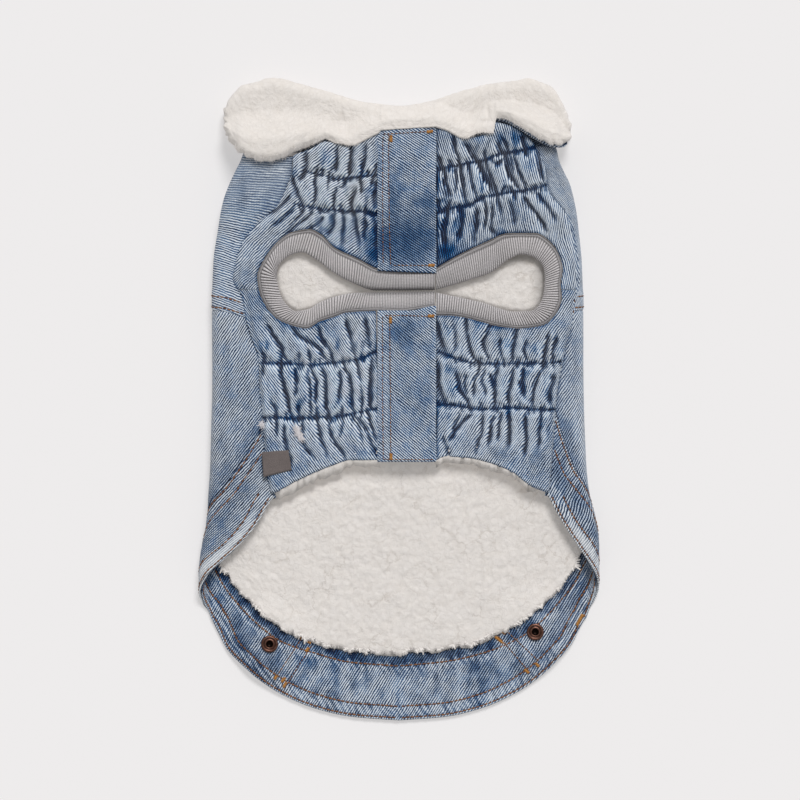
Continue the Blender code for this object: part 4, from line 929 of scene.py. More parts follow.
def knit_material(name):
    """Heather knit: mixed light and dark fibres over the ribs that the mesh has."""
    tree, shader = new_material(name, sheen=0.2, roughness=0.92, specular=0.2)
    g = Graph(tree)
    uv, u, v = g.weave()
    loops = g.math("SINE", g.math("MULTIPLY", v, 2 * math.pi / 0.9))
    fleck = g.stretch(g.noise(g.join(g.math("MULTIPLY", u, 1.5), g.math("MULTIPLY", v, 0.8)), 1.0, 3.0, 0.7), 0.32, 0.68, -1.0, 1.0)
    fine = g.stretch(g.noise(g.join(g.math("MULTIPLY", u, 4.0), g.math("MULTIPLY", v, 2.5), 4.0), 1.0, 2.0, 0.7), 0.3, 0.7, -1.0, 1.0)
    f = g.math("ADD", g.math("MULTIPLY", fleck, 0.28), g.math("ADD", g.math("MULTIPLY", fine, 0.20), g.math("MULTIPLY", loops, 0.15)))
    f = g.math("ADD", f, 0.5, clamp=True)
    base = g.shade()
    colour = g.mix("MIX", f, g.mix("MULTIPLY", 1.0, base, (0.70, 0.69, 0.70)), g.mix("MULTIPLY", 1.0, base, (1.22, 1.21, 1.20)))
    g.put(shader.inputs["Base Color"], colour)
    g.put(shader.inputs["Normal"], g.bump(g.math("ADD", g.math("MULTIPLY", loops, 0.4), fine), 0.00018, 0.8))


def thread_material(name, colour, dark):
    tree, shader = new_material(name, sheen=0.1, roughness=0.6, specular=0.4)
    g = Graph(tree)
    uv, u, v = g.weave()
    twist = g.math("SINE", g.math("ADD", g.math("MULTIPLY", u, 9.0), g.math("MULTIPLY", v, 6.3)))
    worn = g.noise(g.join(g.math("MULTIPLY", u, 0.35), v), 1.0, 2.0)
    f = g.math("ADD", g.stretch(worn, 0.35, 0.65, 0.0, 0.7), g.math("MULTIPLY", twist, 0.15), clamp=True)
    g.put(shader.inputs["Base Color"], g.mix("MIX", f, (*dark, 1.0), (*colour, 1.0)))
    g.put(shader.inputs["Normal"], g.bump(twist, 0.00008, 0.7))


def copper_material(name):
    """Antique copper: dark in its hollows, bright and scuffed where it is handled."""
    tree, shader = new_material(name, metallic=0.95, roughness=0.38, specular=0.5)
    g = Graph(tree)
    c = tree.nodes.new("ShaderNodeTexCoord")
    spots = g.noise(c.outputs["Object"], 900.0, 3.0, 0.6)
    fine = g.noise(c.outputs["Object"], 3800.0, 2.0, 0.6)
    f = g.stretch(spots, 0.35, 0.7, 0.0, 1.0)
    g.put(shader.inputs["Base Color"], g.mix("MULTIPLY", 1.0, g.shade(), g.mix("MIX", f, (0.55, 0.47, 0.42), (1.0, 1.0, 1.0))))
    g.put(shader.inputs["Roughness"], g.stretch(fine, 0.3, 0.7, 0.28, 0.55))
    g.put(shader.inputs["Normal"], g.bump(fine, 0.00003, 0.5))


def tag_material(name):
    """Damask tag: fine crossed ribs of grey-brown thread."""
    tree, shader = new_material(name, sheen=0.15, roughness=0.7, specular=0.3)
    g = Graph(tree)
    uv, u, v = g.weave()
    a = g.math("SINE", g.math("MULTIPLY", u, 2 * math.pi / 0.32))
    b = g.math("SINE", g.math("MULTIPLY", v, 2 * math.pi / 0.42))
    mottle = g.noise(g.join(u, v), 1.2, 3.0, 0.6)
    f = g.math("ADD", g.math("MULTIPLY", g.math("MULTIPLY", a, b), 0.22), g.stretch(mottle, 0.3, 0.7, 0.2, 0.8), clamp=True)
    base = g.shade()
    g.put(shader.inputs["Base Color"], g.mix("MIX", f, g.mix("MULTIPLY", 1.0, base, (0.72, 0.72, 0.72)), g.mix("MULTIPLY", 1.0, base, (1.2, 1.2, 1.2))))
    g.put(shader.inputs["Normal"], g.bump(g.math("MULTIPLY", a, b), 0.00008, 0.8))


denim_material("denim_light", 1.15, 0.86)
denim_material("denim_front", 1.12, 0.86)
denim_material("denim_facing", 1.16, 0.88)
sherpa_material("sherpa_pile", 0.50)
sherpa_material("sherpa_collar", 0.12)
knit_material("heather_rib")
thread_material("thread_tan", tuple(linear((164, 110, 66))), tuple(linear((88, 54, 34))))
thread_material("thread_gold", tuple(linear((208, 150, 70))), tuple(linear((158, 104, 44))))
thread_material("thread_navy", tuple(linear((34, 44, 68))), tuple(linear((14, 20, 36))))
thread_material("thread_pale", tuple(linear((206, 204, 202))), tuple(linear((168, 166, 166))))
copper_material("copper")
tag_material("tag_weave")
for fibre, sheen in (("sherpa_fuzz", 0.2), ("denim_fray", 0.0)):
    tree, shader = new_material(fibre, sheen=sheen, roughness=0.95, specular=0.1)
    g = Graph(tree)
    uv, u, v = g.weave()
    tone = g.mix("MULTIPLY", 1.0, g.shade(), g.mix("MIX", g.noise(g.join(u, v), 0.9, 2.0), (0.86, 0.86, 0.86), (1.1, 1.1, 1.1)))
    if sheen:
        # the fuzz glows faintly in its own colour, painted light; its base colour is dimmed to match
        g.put(shader.inputs["Emission Color"], tone)
        shader.inputs["Emission Strength"].default_value = 0.16
        tone = g.mix("MULTIPLY", 1.0, tone, (0.82, 0.82, 0.82))
    g.put(shader.inputs["Base Color"], tone)


# ---------------------------------------------------------------- the fronts' creases
fronts = Map(-104.0, -64.0, 112.0, 172.0, 0.4)
narrow, broad, pinch, dark, line = (fronts.zeros() for _ in range(5))
wob_x = 0.55 * cloud(fronts.X, fronts.Y, 5.0, 11, 2)
wob_y = 0.55 * cloud(fronts.X, fronts.Y, 5.0, 23, 2)


def press(depth, width, lean, path, ends=(0.30, 0.30)):
    """Presses one crease into the fronts' maps."""
    win = fronts.window(path, 8.0 + 2 * width)
    X, Y = fronts.X[win] + wob_x[win], fronts.Y[win] + wob_y[win]
    d, side, along = near_path(X, Y, path)
    w = width * (1.0 + lean * side)
    fade = np.minimum(1.0, ends[0] + along / 0.22) * np.minimum(1.0, ends[1] + (1 - along) / 0.22)
    uneven_depth = 0.8 + 0.35 * cloud(X, Y, 7.0, 31, 2)
    fade = np.clip(fade, 0, 1) * uneven_depth
    narrow[win] = np.maximum(narrow[win], depth * fade * np.exp(-((d / w) ** 1.5)))
    line[win] = np.maximum(line[win], np.clip(depth / 2.3, 0, 1.1) * fade * np.exp(-(((d + 0.12) / (0.50 * w + 0.12)) ** 2)))
    broad[win] += 0.34 * depth * fade * np.exp(-((d / (2.6 * w + 0.8)) ** 2))


for depth, width, lean, *pts in CREASES:
    press(1.2 * depth, 0.92 * width, lean, smooth_path(pts, 1.5))

# Small tucks where each elastic row gathers the cloth.
rng = np.random.default_rng(5)
row_paths = [smooth_path(pts, 0.8) for pts in ELASTIC]
for path in row_paths:
    run = np.concatenate([[0], np.cumsum(np.hypot(*np.diff(path, axis=0).T))])
    at = 1.0 + rng.uniform(0, 1.5)
    while at < run[-1] - 1.0:
        x, y = (np.interp(at, run, path[:, k]) for k in (0, 1))
        up, down = rng.uniform(0.8, 4.6), rng.uniform(0.8, 4.6)
        tilt = rng.uniform(-0.35, 0.35)
        press(rng.uniform(0.9, 2.2), rng.uniform(0.62, 1.0), rng.uniform(-0.3, 0.3),
              smooth_path([(x + tilt * up, y + up), (x, y), (x - tilt * down, y - down)], 1.2), (0.1, 0.1))
        at += rng.uniform(2.0, 4.4)
    win = fronts.window(path, 8.0)
    X, Y = fronts.X[win] + 0.3 * wob_x[win], fronts.Y[win] + 0.3 * wob_y[win]
    d, _, _ = near_path(X, Y, path)
    pinch[win] = np.maximum(pinch[win], 1.15 * np.exp(-((d / 0.85) ** 1.6)) + 0.75 * np.exp(-((d / 3.0) ** 2)))

for x, y, r, strength in DARK_PATCHES:
    win = fronts.window([(x, y)], 3 * r)
    X, Y = fronts.X[win] + 2.2 * wob_x[win], fronts.Y[win] + 2.2 * wob_y[win]
    dark[win] = np.maximum(dark[win], strength * np.exp(-(((X - x) / r) ** 2 + ((Y - y) / (1.25 * r)) ** 2)))

pull = fronts.zeros()
for path in row_paths:
    win = fronts.window(path, 26.0)
    d, _, _ = near_path(fronts.X[win], fronts.Y[win], path[::3])
    pull[win] = np.maximum(pull[win], np.exp(-((d / 12.0) ** 2)))
pleat_x = fronts.X + 2.0 * cloud(fronts.X, fronts.Y, 13.0, 43, 2)
pleats = cloud(pleat_x, fronts.Y * 0.20, 2.7, 45, 2) + 0.6 * cloud(pleat_x, fronts.Y * 0.25, 5.4, 47, 2)
soft_fold = 0.16 * cloud(fronts.X * 1.9, fronts.Y * 0.8, 9.0, 41, 3) + 0.50 * pull * pleats
front_relief = -narrow - 0.85 * np.minimum(broad, 1.6) - pinch + soft_fold
front_relief = blur(front_relief, 0.7)
ridge = front_relief - blur(front_relief, 4.5)

# The wash of the fronts, before the creases: belly and chest, left and right.
chest = ease((fronts.Y - 60.0) / 12.0)
left = fronts.X < 5.0
front_wash = np.where(left, 0.55 + 0.035 * chest, 0.558 - 0.075 * chest + 0.23 * chest * ease((fronts.X - 72.0) / 14.0))
# darker by the placket and towards the leg openings on the chest
near_placket = np.exp(-((np.where(left, -11.2 - fronts.X, fronts.X - 22.0) / 13.0) ** 2))
front_wash -= chest * near_placket * 0.16 * ease((150.0 - fronts.Y) / 26.0)
# painted shadow beside the placket's edges, stronger on the right, where its free edge stands over the front
front_wash -= 0.30 * np.exp(-(((fronts.X - 22.9) / 1.2) ** 2)) + 0.14 * np.exp(-(((fronts.X + 12.6) / 0.9) ** 2))
front_wash += 0.095 * cloud(fronts.X, fronts.Y, 17.0, 51, 3) + 0.055 * cloud(fronts.X, fronts.Y, 4.5, 61, 2)
# paler on the ridges and the pleats' crests, partly worn and partly a painted highlight; painted shade in the hollows
front_wash += np.clip(ridge, -0.9, 0.7) * np.where(ridge > 0, 1.02, 0.50)
front_wash += 0.10 * pull * pleats
front_wash -= 0.36 * np.clip(dark, 0, 1)
# painted shade: dark crease lines, darker along the narrow creases (more so on the right chest) and in the elastic
# rows' grooves, and greyer in the creases
shadow = np.clip(line, 0, 1)
front_wash = front_wash * (1 - 0.97 * shadow) * (1 - (0.34 + 0.16 * chest * (fronts.X > 5)) * np.clip(blur(narrow, 0.6) / 2.4, 0, 1)) - 0.10 * np.clip(pinch - 0.7, 0, 1)
front_grey = 0.16 * chest * np.where(left, 1.0, 0.5) + 0.1 * cloud(fronts.X, fronts.Y, 25.0, 71, 2) - 0.45 * np.clip(dark, 0, 1) + 0.45 * np.clip(blur(narrow, 0.6) / 2.0, 0, 1)

# Where each point lies on the cloth sideways: gathered in, and a little on its ridges.
cloth_run = fronts.X * 1.12 + 1.3 * cloud(fronts.X, fronts.Y, 20.0, 73, 2) + 0.5 * blur(front_relief, 2.0)


def front_surface(x, y):
    return skin_height(x, y) + FRONT_CREST + 0.1 + fronts.at(front_relief, x, y)


def inside_of(X, Y, xs, ys):
    """Which points lie inside a closed outline."""
    out = np.zeros(X.shape, bool)
    for k in range(len(xs)):
        x1, y1, x2, y2 = xs[k - 1], ys[k - 1], xs[k], ys[k]
        if y1 != y2:
            out ^= ((Y < y1) != (Y < y2)) & (X < x1 + (Y - y1) * (x2 - x1) / (y2 - y1))
    return out


opening = fronts.zeros()
for data in (RIB_LEFT, RIB_RIGHT):
    opening = np.maximum(opening, inside_of(fronts.X, fronts.Y, data["in_x"], data["in_y"]).astype(float))
opening = np.clip(blur(opening, 6.0) * 2.0 - 0.25, 0, 1)


def rib_curves(data):
    station = np.arange(len(data["out_x"]))
    return {name: smooth_curve(station, data[name]) for name in data}


def front_plan(rib_table, front_table, steps_u, steps_v, clear, reach_of=None):
    rib = rib_curves(rib_table)
    front = {n: smooth_curve(front_table["rib"], front_table[n]) for n in ("edge_x", "edge_y")}

    def ends(u):
        ox, oy, ix, iy = (rib[n](u) for n in ("out_x", "out_y", "in_x", "in_y"))
        n = np.hypot(ox - ix, oy - iy)
        a = np.stack([ox + clear * (ox - ix) / n, oy + clear * (oy - iy) / n], axis=-1)
        return a, np.stack([front["edge_x"](u), front["edge_y"](u)], axis=-1)

    fine = np.linspace(front_table["rib"][0], front_table["rib"][-1], 800)
    a, b = ends(fine)
    run = np.hypot(*np.diff(b, axis=0).T) + 0.6 * np.hypot(*np.diff(a, axis=0).T)
    run = np.concatenate([[0], np.cumsum(run)])
    us = np.interp(np.linspace(0, run[-1], steps_u + 1), run, fine)
    a, b = ends(us)
    length = np.hypot(*(b - a).T)
    reach = np.ones(len(us)) if reach_of is None else reach_of(us, length)
    # rows are closer towards both edges, which turn down
    t = np.linspace(0, 1, steps_v + 1)
    t = t + 0.035 * np.sin(2 * math.pi * t)
    t = (t * reach[:, None])[..., None]
    return a[:, None, :] * (1 - t) + b[:, None, :] * t, us, length


def make_front(name, rib_table, front_table, steps, grain, node):
    plan, us, length = front_plan(rib_table, front_table, steps[0], steps[1], 0.35)
    x, y = plan[..., 0], plan[..., 1]
    z = front_surface(x, y)
    t = np.linspace(0, 1, steps[1] + 1)[None, :]
    from_edge = (1 - t) * length[:, None]
    from_rib = t * length[:, None]
    along = np.concatenate([[0], np.cumsum(np.hypot(*np.diff(plan[:, -1], axis=0).T))])
    from_end = np.minimum(along, along[-1] - along)[:, None]
    # the cloth rolls down to its seams and its free edges
    roll = lambda d, reach: np.sqrt(np.clip(1 - (1 - np.clip(d / reach, 0, 1)) ** 2, 0, 1))
    low = skin_height(x, y) + 0.10
    b = plan[:, -1]
    level = np.abs(np.gradient(b[:, 0])) / (np.hypot(np.gradient(b[:, 0]), np.gradient(b[:, 1])) + 1e-9)
    free = ((b[:, 1] < -30) | (b[:, 1] > 143)) * ease((level - 0.55) / 0.2)
    free = np.convolve(np.pad(free, 4, mode="edge"), np.ones(9) / 9, mode="valid")[:, None]
    side_hold = 0.10 + 0.90 * ease(from_edge / 5.2)
    slope = np.gradient(FRONT_CREST * side_hold, axis=1)
    flat_step = np.hypot(np.gradient(x, axis=1), np.gradient(y, axis=1))
    extra = np.cumsum(np.hypot(flat_step, slope) - flat_step, axis=1) * (1 - free) * np.where(x < 5, -1.0, 1.0)
    free_hold = 0.42 + 0.58 * roll(from_edge, 1.6)
    hold = (side_hold * (1 - free) + free_hold * free) * (0.35 + 0.65 * roll(from_end, 2.6))
    z = low + np.maximum(z - low, 0.5) * hold - (0.35 + 0.5 * free) * (1 - ease(from_edge / 0.9))
    z = z * roll(from_rib + 0.6, 2.4) + (low + 0.9) * (1 - roll(from_rib + 0.6, 2.4))
    outer = np.stack([x, y, z], axis=-1)
    # the inner skin follows the creases' floors
    coarse = z.copy()
    for axis, reach in ((0, 4), (1, 4)):
        for k in range(1, reach + 1):
            coarse = np.minimum(coarse, np.roll(coarse, k, axis=axis))
            coarse = np.minimum(coarse, np.roll(coarse, -k, axis=axis))
    inner = np.stack([x, y, np.maximum(coarse - 0.75, top(y) - 0.95)], axis=-1)
    inner[..., 2] = np.minimum(inner[..., 2], z - 0.4)
    wash = fronts.at(front_wash, x, y)
    grey = fronts.at(front_grey, x, y)
    # seams and the hem are rubbed pale on their crest, with painted shade in their groove; a painted shadow runs along
    # the ribbed band's edge
    rub = 0.12 * np.exp(-(((from_edge - 1.8) / 1.2) ** 2)) - 0.12 * np.exp(-((from_edge / 0.7) ** 2))
    wash = wash + rub - 0.36 * np.exp(-((from_rib / 1.0) ** 2))
    run = fronts.at(cloth_run, x, y) + extra
    uv = np.where((y > 66.0)[..., None], weave_uv(run, y, grain[0], 1.36), weave_uv(run, y, grain[1], 1.36) + 40.0)
    obj = shell(name, outer, inner, (5, 5), denim_colour(wash, grey), uv, "denim_front")
    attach(obj, "root")
    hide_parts(node)
    return obj, outer


front_left, front_left_skin = make_front("front_left_cloth", RIB_LEFT, FRONT_LEFT, (400, 124), (40, -48), "front_left")
front_right, front_right_skin = make_front("front_right_cloth", RIB_RIGHT, FRONT_RIGHT, (400, 124), (-76, 54), "front_right")


# ---------------------------------------------------------------- the ribbed bands
RIB_PROFILE = table(
    "across up",
    (0.00, -2.2), (0.00, -0.9), (0.03, -0.1), (0.09, 0.15), (0.13, -0.15), (0.20, 0.25), (0.35, 0.62),
    (0.50, 0.72), (0.65, 0.62), (0.80, 0.30), (0.92, -0.25), (0.99, -1.0), (1.00, -1.7), (0.95, -2.3), (0.50, -2.45),
)


def make_rib(name, data, node, ribs):
    curves = rib_curves(data)
    count = ribs * 8
    last = len(data["out_x"]) - 1
    fine = np.linspace(0, last, 900)
    mx = (curves["out_x"](fine) + curves["in_x"](fine)) / 2
    my = (curves["out_y"](fine) + curves["in_y"](fine)) / 2
    run = np.concatenate([[0], np.cumsum(np.hypot(np.diff(mx), np.diff(my)))])
    s = np.linspace(0, run[-1], count + 1)
    us = np.interp(s, run, fine)
    ox, oy, ix, iy = (curves[n](us)[:, None] for n in ("out_x", "out_y", "in_x", "in_y"))
    v, up = RIB_PROFILE["across"][None, :], RIB_PROFILE["up"][None, :]
    # beside the placket on the right the ribs lean as the band turns
    lean = 2.6 * np.exp(-((s / 30.0) ** 2)) * (ox[0, 0] > 22.0) * (oy[0, 0] > 60.0)
    phase = (s / run[-1] * ribs)[:, None] - lean[:, None] * v
    sharp = 1 - 2 * np.exp(-((np.abs((phase % 1.0) - 0.5) / 0.17) ** 2))
    on_band = ease((v - 0.10) / 0.08) * ease((1.06 - v) / 0.12)
    tight = 0.85 + 0.25 * cloud(s[:, None], 0 * s[:, None], 9.0, 81, 2)
    x, y = ox + (ix - ox) * v, oy + (iy - oy) * v
    # under the placket's line the band is slack, and its ribs are faint
    middle = np.exp(-((np.maximum(np.abs(x - 4.0) - 17.5, 0) / np.where(x > 4, 1.5, 9.0)) ** 2))
    z = top(y) + FRONT_SEAM + up + 0.58 * sharp * on_band * tight * (1 - 0.55 * middle)
    z = z + 0.18 * cloud(x, y, 14.0, 83, 2)
    # the free inner edge is scalloped by its ribs
    nudge = 0.14 * sharp * (v > 0.88)
    n = np.hypot(ox - ix, oy - iy)
    x, y = x - nudge * (ox - ix) / n, y - nudge * (oy - iy) / n
    ring = np.stack([x, y, z], axis=-1)
    rows, m = ring.shape[:2]
    idx = np.arange(rows * m).reshape(rows, m)
    nxt = np.roll(idx, -1, axis=1)
    quads = np.stack([idx[:-1], idx[1:], nxt[1:], nxt[:-1]], axis=-1).reshape(-1, 4).tolist()
    faces = quads + [list(range(m))] + [list(range((rows - 1) * m, rows * m))[::-1]]
    base = linear((216, 212, 213))
    # shade: the heather's own mottling, with painted shade in the ribs' grooves, along the outer edge, on the band's
    # underside and in the gap between the two bands in the middle
    shade = (0.665 + 0.40 * sharp * on_band * (1 - 0.62 * middle) + 0.06 * middle) * (1 + 0.07 * cloud(x, y, 9.0, 85, 3))
    shade = shade * (1 - 0.55 * np.exp(-(((v - 0.13) / 0.02) ** 2))) * (1 - 0.10 * (v < 0.10)) * (1 - 0.5 * (v < 0.02))
    shade = shade * (1 - 0.2 * (up < -2.0)) * (1 - 0.62 * middle * ease((v - 0.74) / 0.22) + middle * np.where(y > 65.0, -0.09, 0.07))
    colour = base * shade[..., None]
    width = n * v
    uv = np.stack([phase * 1.8 + 0 * v, width + 0 * phase], axis=-1)
    obj = make_mesh(name, ring.reshape(-1, 3), faces, colour.reshape(-1, 3), uv.reshape(-1, 2), "heather_rib")
    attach(obj, "root")
    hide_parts(node)
    return obj


make_rib("rib_left_knit", RIB_LEFT, "rib_left", 146)
make_rib("rib_right_knit", RIB_RIGHT, "rib_right", 124)


# ---------------------------------------------------------------- the plackets
PLACKET_DARK = (  # x, y, half width, half height, strength
    (8.0, 96.0, 22.0, 12.0, 0.62), (-4.0, 86.0, 12.0, 10.0, 0.25), (16.0, 119.0, 10.0, 5.0, 0.22),
    (-3.0, 121.0, 4.0, 9.0, 0.45), (-7.5, 96.0, 4.0, 10.0, 0.25), (2.0, 42.0, 9.0, 8.0, 0.70),
    (8.0, 33.0, 14.0, 6.0, 0.30), (14.0, 3.0, 9.0, 12.0, 0.24), (-5.0, -14.0, 5.0, 10.0, 0.22),
    (-9.0, 30.0, 2.0, 6.0, 0.50), (16.0, 22.0, 7.0, 9.0, 0.12), (5.0, -22.0, 12.0, 6.0, 0.10),
)


def placket_relief(x, y):
    pucker = 0.16 * np.sin(2 * math.pi * (y / 4.1 + 0.5 * cloud(x, y, 9.0, 91, 2))) * (
        np.exp(-(((x + 9.7) / 2.6) ** 2)) + np.exp(-(((x + 5.6) / 2.2) ** 2)))
    groove = -0.22 * (np.exp(-(((x + 9.6) / 0.55) ** 2)) + np.exp(-(((x + 5.6) / 0.55) ** 2)))
    swell = 0.35 * cloud(x, y, 24.0, 93, 2) + 0.12 * cloud(x, y, 7.0, 95, 2)
    return pucker + groove + swell


def make_placket(name, y_low, y_high, node, base, grain, dark_ends):
    n, m = 64, 130
    xs = np.linspace(PLACKET_X0 - 1.9, PLACKET_X1 + 0.5, n + 1)
    t = np.linspace(0, 1, m + 1)
    low_edge = y_low(xs)[:, None]
    ys = low_edge + (y_high(xs)[:, None] - low_edge) * t[None, :]
    X = xs[:, None] + 0 * ys
    wavy = 0.25 * cloud(0 * ys, ys, 16.0, 97, 2)
    X = X + wavy * ease((X - 12.0) / 10.0)
    edge = np.minimum(np.minimum(xs - xs[0], xs[-1] - xs)[:, None], np.minimum(ys - low_edge, y_high(xs)[:, None] - ys))
    roll = np.sqrt(np.clip(1 - (1 - np.clip((edge + 0.25) / 1.3, 0, 1)) ** 2, 0, 1))
    side = (xs - xs[0]) / (xs[-1] - xs[0])
    z = top(ys) + 3.3 - 0.5 * np.abs(side[:, None] * 2 - 1) ** 3 + placket_relief(X, ys) * roll
    z = z - 1.3 * (1 - roll)
    outer = np.stack([X, ys, z], axis=-1)
    inner = np.stack([X, ys, top(ys) + 0.35 + 0 * X], axis=-1)
    wash = base(X, ys) + 0.05 * cloud(X, ys, 13.0, 99, 3) + 0.045 * cloud(X * 2.2, ys * 0.7, 4.0, 101, 2)
    bx, by = X + 2.2 * cloud(X, ys, 6.0, 103, 3), ys + 2.2 * cloud(X, ys, 6.0, 105, 3)
    for x, y, w, h, s in PLACKET_DARK:
        wash = wash - 0.46 * s * np.exp(-(((bx - x) / w) ** 2 + ((by - y) / h) ** 2))
    rub = np.exp(-((np.minimum(xs - xs[0], xs[-1] - xs)[:, None] / 1.1) ** 2))
    # rubbed pale at its side edges; paler on its puckers and swells, partly worn and partly painted light; painted
    # shade in its stitched grooves
    wash = wash + 0.10 * rub + 0.5 * placket_relief(X, ys) * roll * 0.4
    # rubbed pale between the stitched rows
    wash = wash + 0.10 * np.exp(-(((X + 7.6) / 1.5) ** 2))
    # the upper placket is darker along its top and bottom edges
    wash = wash - 0.35 * np.exp(-((np.minimum(ys - low_edge, y_high(xs)[:, None] - ys) / 0.5) ** 2)) * (dark_ends > 0)
    obj = shell(name, outer, inner, (4, 6), denim_colour(wash, -0.05), weave_uv(X, ys, grain, 1.28), "denim_light")
    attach(obj, "root")
    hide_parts(node)
    height = float(np.mean(y_high(xs) - y_low(xs)))
    return obj


make_placket("placket_upper_cloth", lambda x: 77.0 - 0.045 * (x - PLACKET_X0), lambda x: 161.4 + 0.06 * (x - PLACKET_X0), "placket_upper",
             lambda x, y: 0.475 + 0.03 * ease((y - 120) / 25.0), -33, 1)
make_placket("placket_lower_cloth", lambda x: -37.4 + 0 * x, lambda x: 53.3 + 2.7 * ease((x - 7.0) / 14.0), "placket_lower",
             lambda x, y: 0.55 + 0.01 * ease((20 - y) / 40.0), -40, 0)


# ---------------------------------------------------------------- threads and fibres
class Tubes:
    """Collects short tapered tubes, to be joined in one mesh."""

    def __init__(self):
        self.verts, self.faces, self.uvs, self.colours, self.count = [], [], [], [], 0

    def add(self, centre, normal, radii, sides, colour, flat=1.0):
        """centre is (n, rings, 3), normal (n, rings, 3), radii (n, rings)."""
        n, rings = centre.shape[:2]
        if n == 0:
            return
        along = np.gradient(centre, axis=1)
        along /= np.linalg.norm(along, axis=-1, keepdims=True) + 1e-9
        across = np.cross(along, normal)
        across /= np.linalg.norm(across, axis=-1, keepdims=True) + 1e-9
        up = np.cross(across, along)
        turn = 2 * math.pi * np.arange(sides) / sides
        c, s = np.cos(turn), np.sin(turn)
        ring = (centre[:, :, None] + radii[..., None, None] * (
            across[:, :, None] * c[None, None, :, None] + flat * up[:, :, None] * s[None, None, :, None]))
        self.verts.append(ring.reshape(-1, 3))
        idx = self.count + np.arange(n * rings * sides).reshape(n, rings, sides)
        nxt = np.roll(idx, -1, axis=2)
        self.faces += np.stack([idx[:, :-1], idx[:, 1:], nxt[:, 1:], nxt[:, :-1]], axis=-1).reshape(-1, 4).tolist()
        self.faces += idx[:, 0].tolist() + idx[:, -1, ::-1].tolist()
        u = np.linspace(0, 3.0, rings)[None, :, None] + 7.0 * np.arange(n)[:, None, None] + 0 * idx
        v = np.arange(sides)[None, None, :] / sides + 0 * idx
        self.uvs.append(np.stack([u, v], axis=-1).reshape(-1, 2))
        self.colours.append(np.broadcast_to(np.asarray(colour, float)[:, None, None, :] if np.ndim(colour) == 2 else np.asarray(colour, float), ring.shape).reshape(-1, 3))
        self.count += n * rings * sides

    def finish(self, name, material, slot_name):
        verts = np.vstack(self.verts)
        verts[:, 2] = np.maximum(verts[:, 2], 0.03)
        obj = make_mesh(name, verts, self.faces, np.vstack(self.colours), np.vstack(self.uvs), material, fix=False)
        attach(obj, "root")
        return obj


def stitch_row(tubes, pts, out, length, gap, radius, rise=0.16, start=0.0, jitter=0.05):
    """Lays stitches along points on a surface, with the outward direction at each."""
    run = np.concatenate([[0], np.cumsum(np.linalg.norm(np.diff(pts, axis=0), axis=1))])
    pitch = length + gap
    count = int((run[-1] - start) / pitch)
    if count < 1:
        return
    first = start + (run[-1] - start - count * pitch + gap) / 2 + np.arange(count) * pitch
    t = np.linspace(0, 1, 5)
    s = first[:, None] + t[None, :] * length
    centre = np.stack([np.interp(s, run, pts[:, k]) for k in range(3)], axis=-1)
    normal = np.stack([np.interp(s, run, out[:, k]) for k in range(3)], axis=-1)
    normal /= np.linalg.norm(normal, axis=-1, keepdims=True) + 1e-9
    lift_by = rise * np.sin(math.pi * t) + radius * 0.25
    centre = centre + normal * lift_by[None, :, None]
    wob = np.random.default_rng(int(abs(pts[0, 0] * 13 + pts[0, 1] * 7 + count)) + 3).normal(0, jitter, (count, 1, 3))
    wob[..., 2] *= 0.3
    radii = radius * np.array([0.45, 0.95, 1.05, 0.95, 0.45])[None, :] * np.ones((count, 1))
    tubes.add(centre + wob, normal, radii, 5, (1, 1, 1), 0.8)


tan_thread, navy_thread, gold_thread = Tubes(), Tubes(), Tubes()
pile_fibres, dark_fibres = Tubes(), Tubes()


def hairs(tubes, base, direction, length, radius, colour, seed, droop=0.0, tip=0.25, sides=3):
    """Short curved fibres from these points, along these directions."""
    rng = np.random.default_rng(seed)
    n = len(base)
    d = direction / (np.linalg.norm(direction, axis=1, keepdims=True) + 1e-9)
    bend = rng.normal(0, 0.45, (n, 3))
    bend[:, 2] -= droop
    t = np.array([0.0, 0.5, 1.0])
    L = np.broadcast_to(length, (n,))[:, None, None]
    centre = base[:, None] + d[:, None] * t[None, :, None] * L + bend[:, None] * (t[None, :, None] ** 2) * L
    normal = np.cross(d, rng.normal(0, 1, (n, 3)))[:, None] + np.zeros((n, 3, 3))
    radii = radius * np.array([1.0, 0.5 + 0.5 * tip, tip])[None, :] * np.ones((n, 1))
    tubes.add(centre, normal, radii, sides, colour)


# ---------------------------------------------------------------- the tube's denim
YOKE_DROP = 8.2     # from the yoke seam's upper stitching to its folded edge
STITCH = 2.3, 0.35, 0.48


def side_line(fn):
    return lambda wrap: np.where(wrap < 0, fn(-1, np.minimum(-wrap, 3.0)), fn(1, np.minimum(wrap, 3.0)))


def tube_cloth(name, node, wraps, low_of, high_of, shares, depth0, depth1, relief, wash_of, grain, pitch, material, step, flat):
    W = wraps[:, None]
    y0, y1 = side_line(low_of)(wraps)[:, None], side_line(high_of)(wraps)[:, None]
    Y = y0 + (y1 - y0) * shares[None, :]
    W = W + 0 * Y
    up = relief(W, Y, Y - y0, y1 - Y) - 1.4 * ease((np.abs(W) - 3.0) / 0.08)
    up = np.maximum(up, -0.82 * abs(depth1 - depth0))
    flip = depth1 < depth0
    outer = tube(W, Y, depth0 + (up if flip else -up))
    inner = tube(W, Y, depth1 + 0 * up)
    wash, grey, crisp, turn = wash_of(W, Y, outer, up, Y - y0, y1 - Y)
    run = round_run(W, Y)
    side_grain = np.where(W < -0.93, grain[0], grain[1])
    t = np.radians(side_grain)
    uv = np.stack([run * np.cos(t) + Y * np.sin(t), -run * np.sin(t) + Y * np.cos(t)], axis=-1)
    uv[..., 1] += turn
    uv = uv / np.where(W < -0.93, pitch[0], pitch[1])[..., None]
    obj = shell(name, outer, inner, step, denim_colour(wash, grey, crisp), uv, material)
    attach(obj, "root")
    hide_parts(node)
    if flat:
        lay(obj, outer)
    return obj, outer


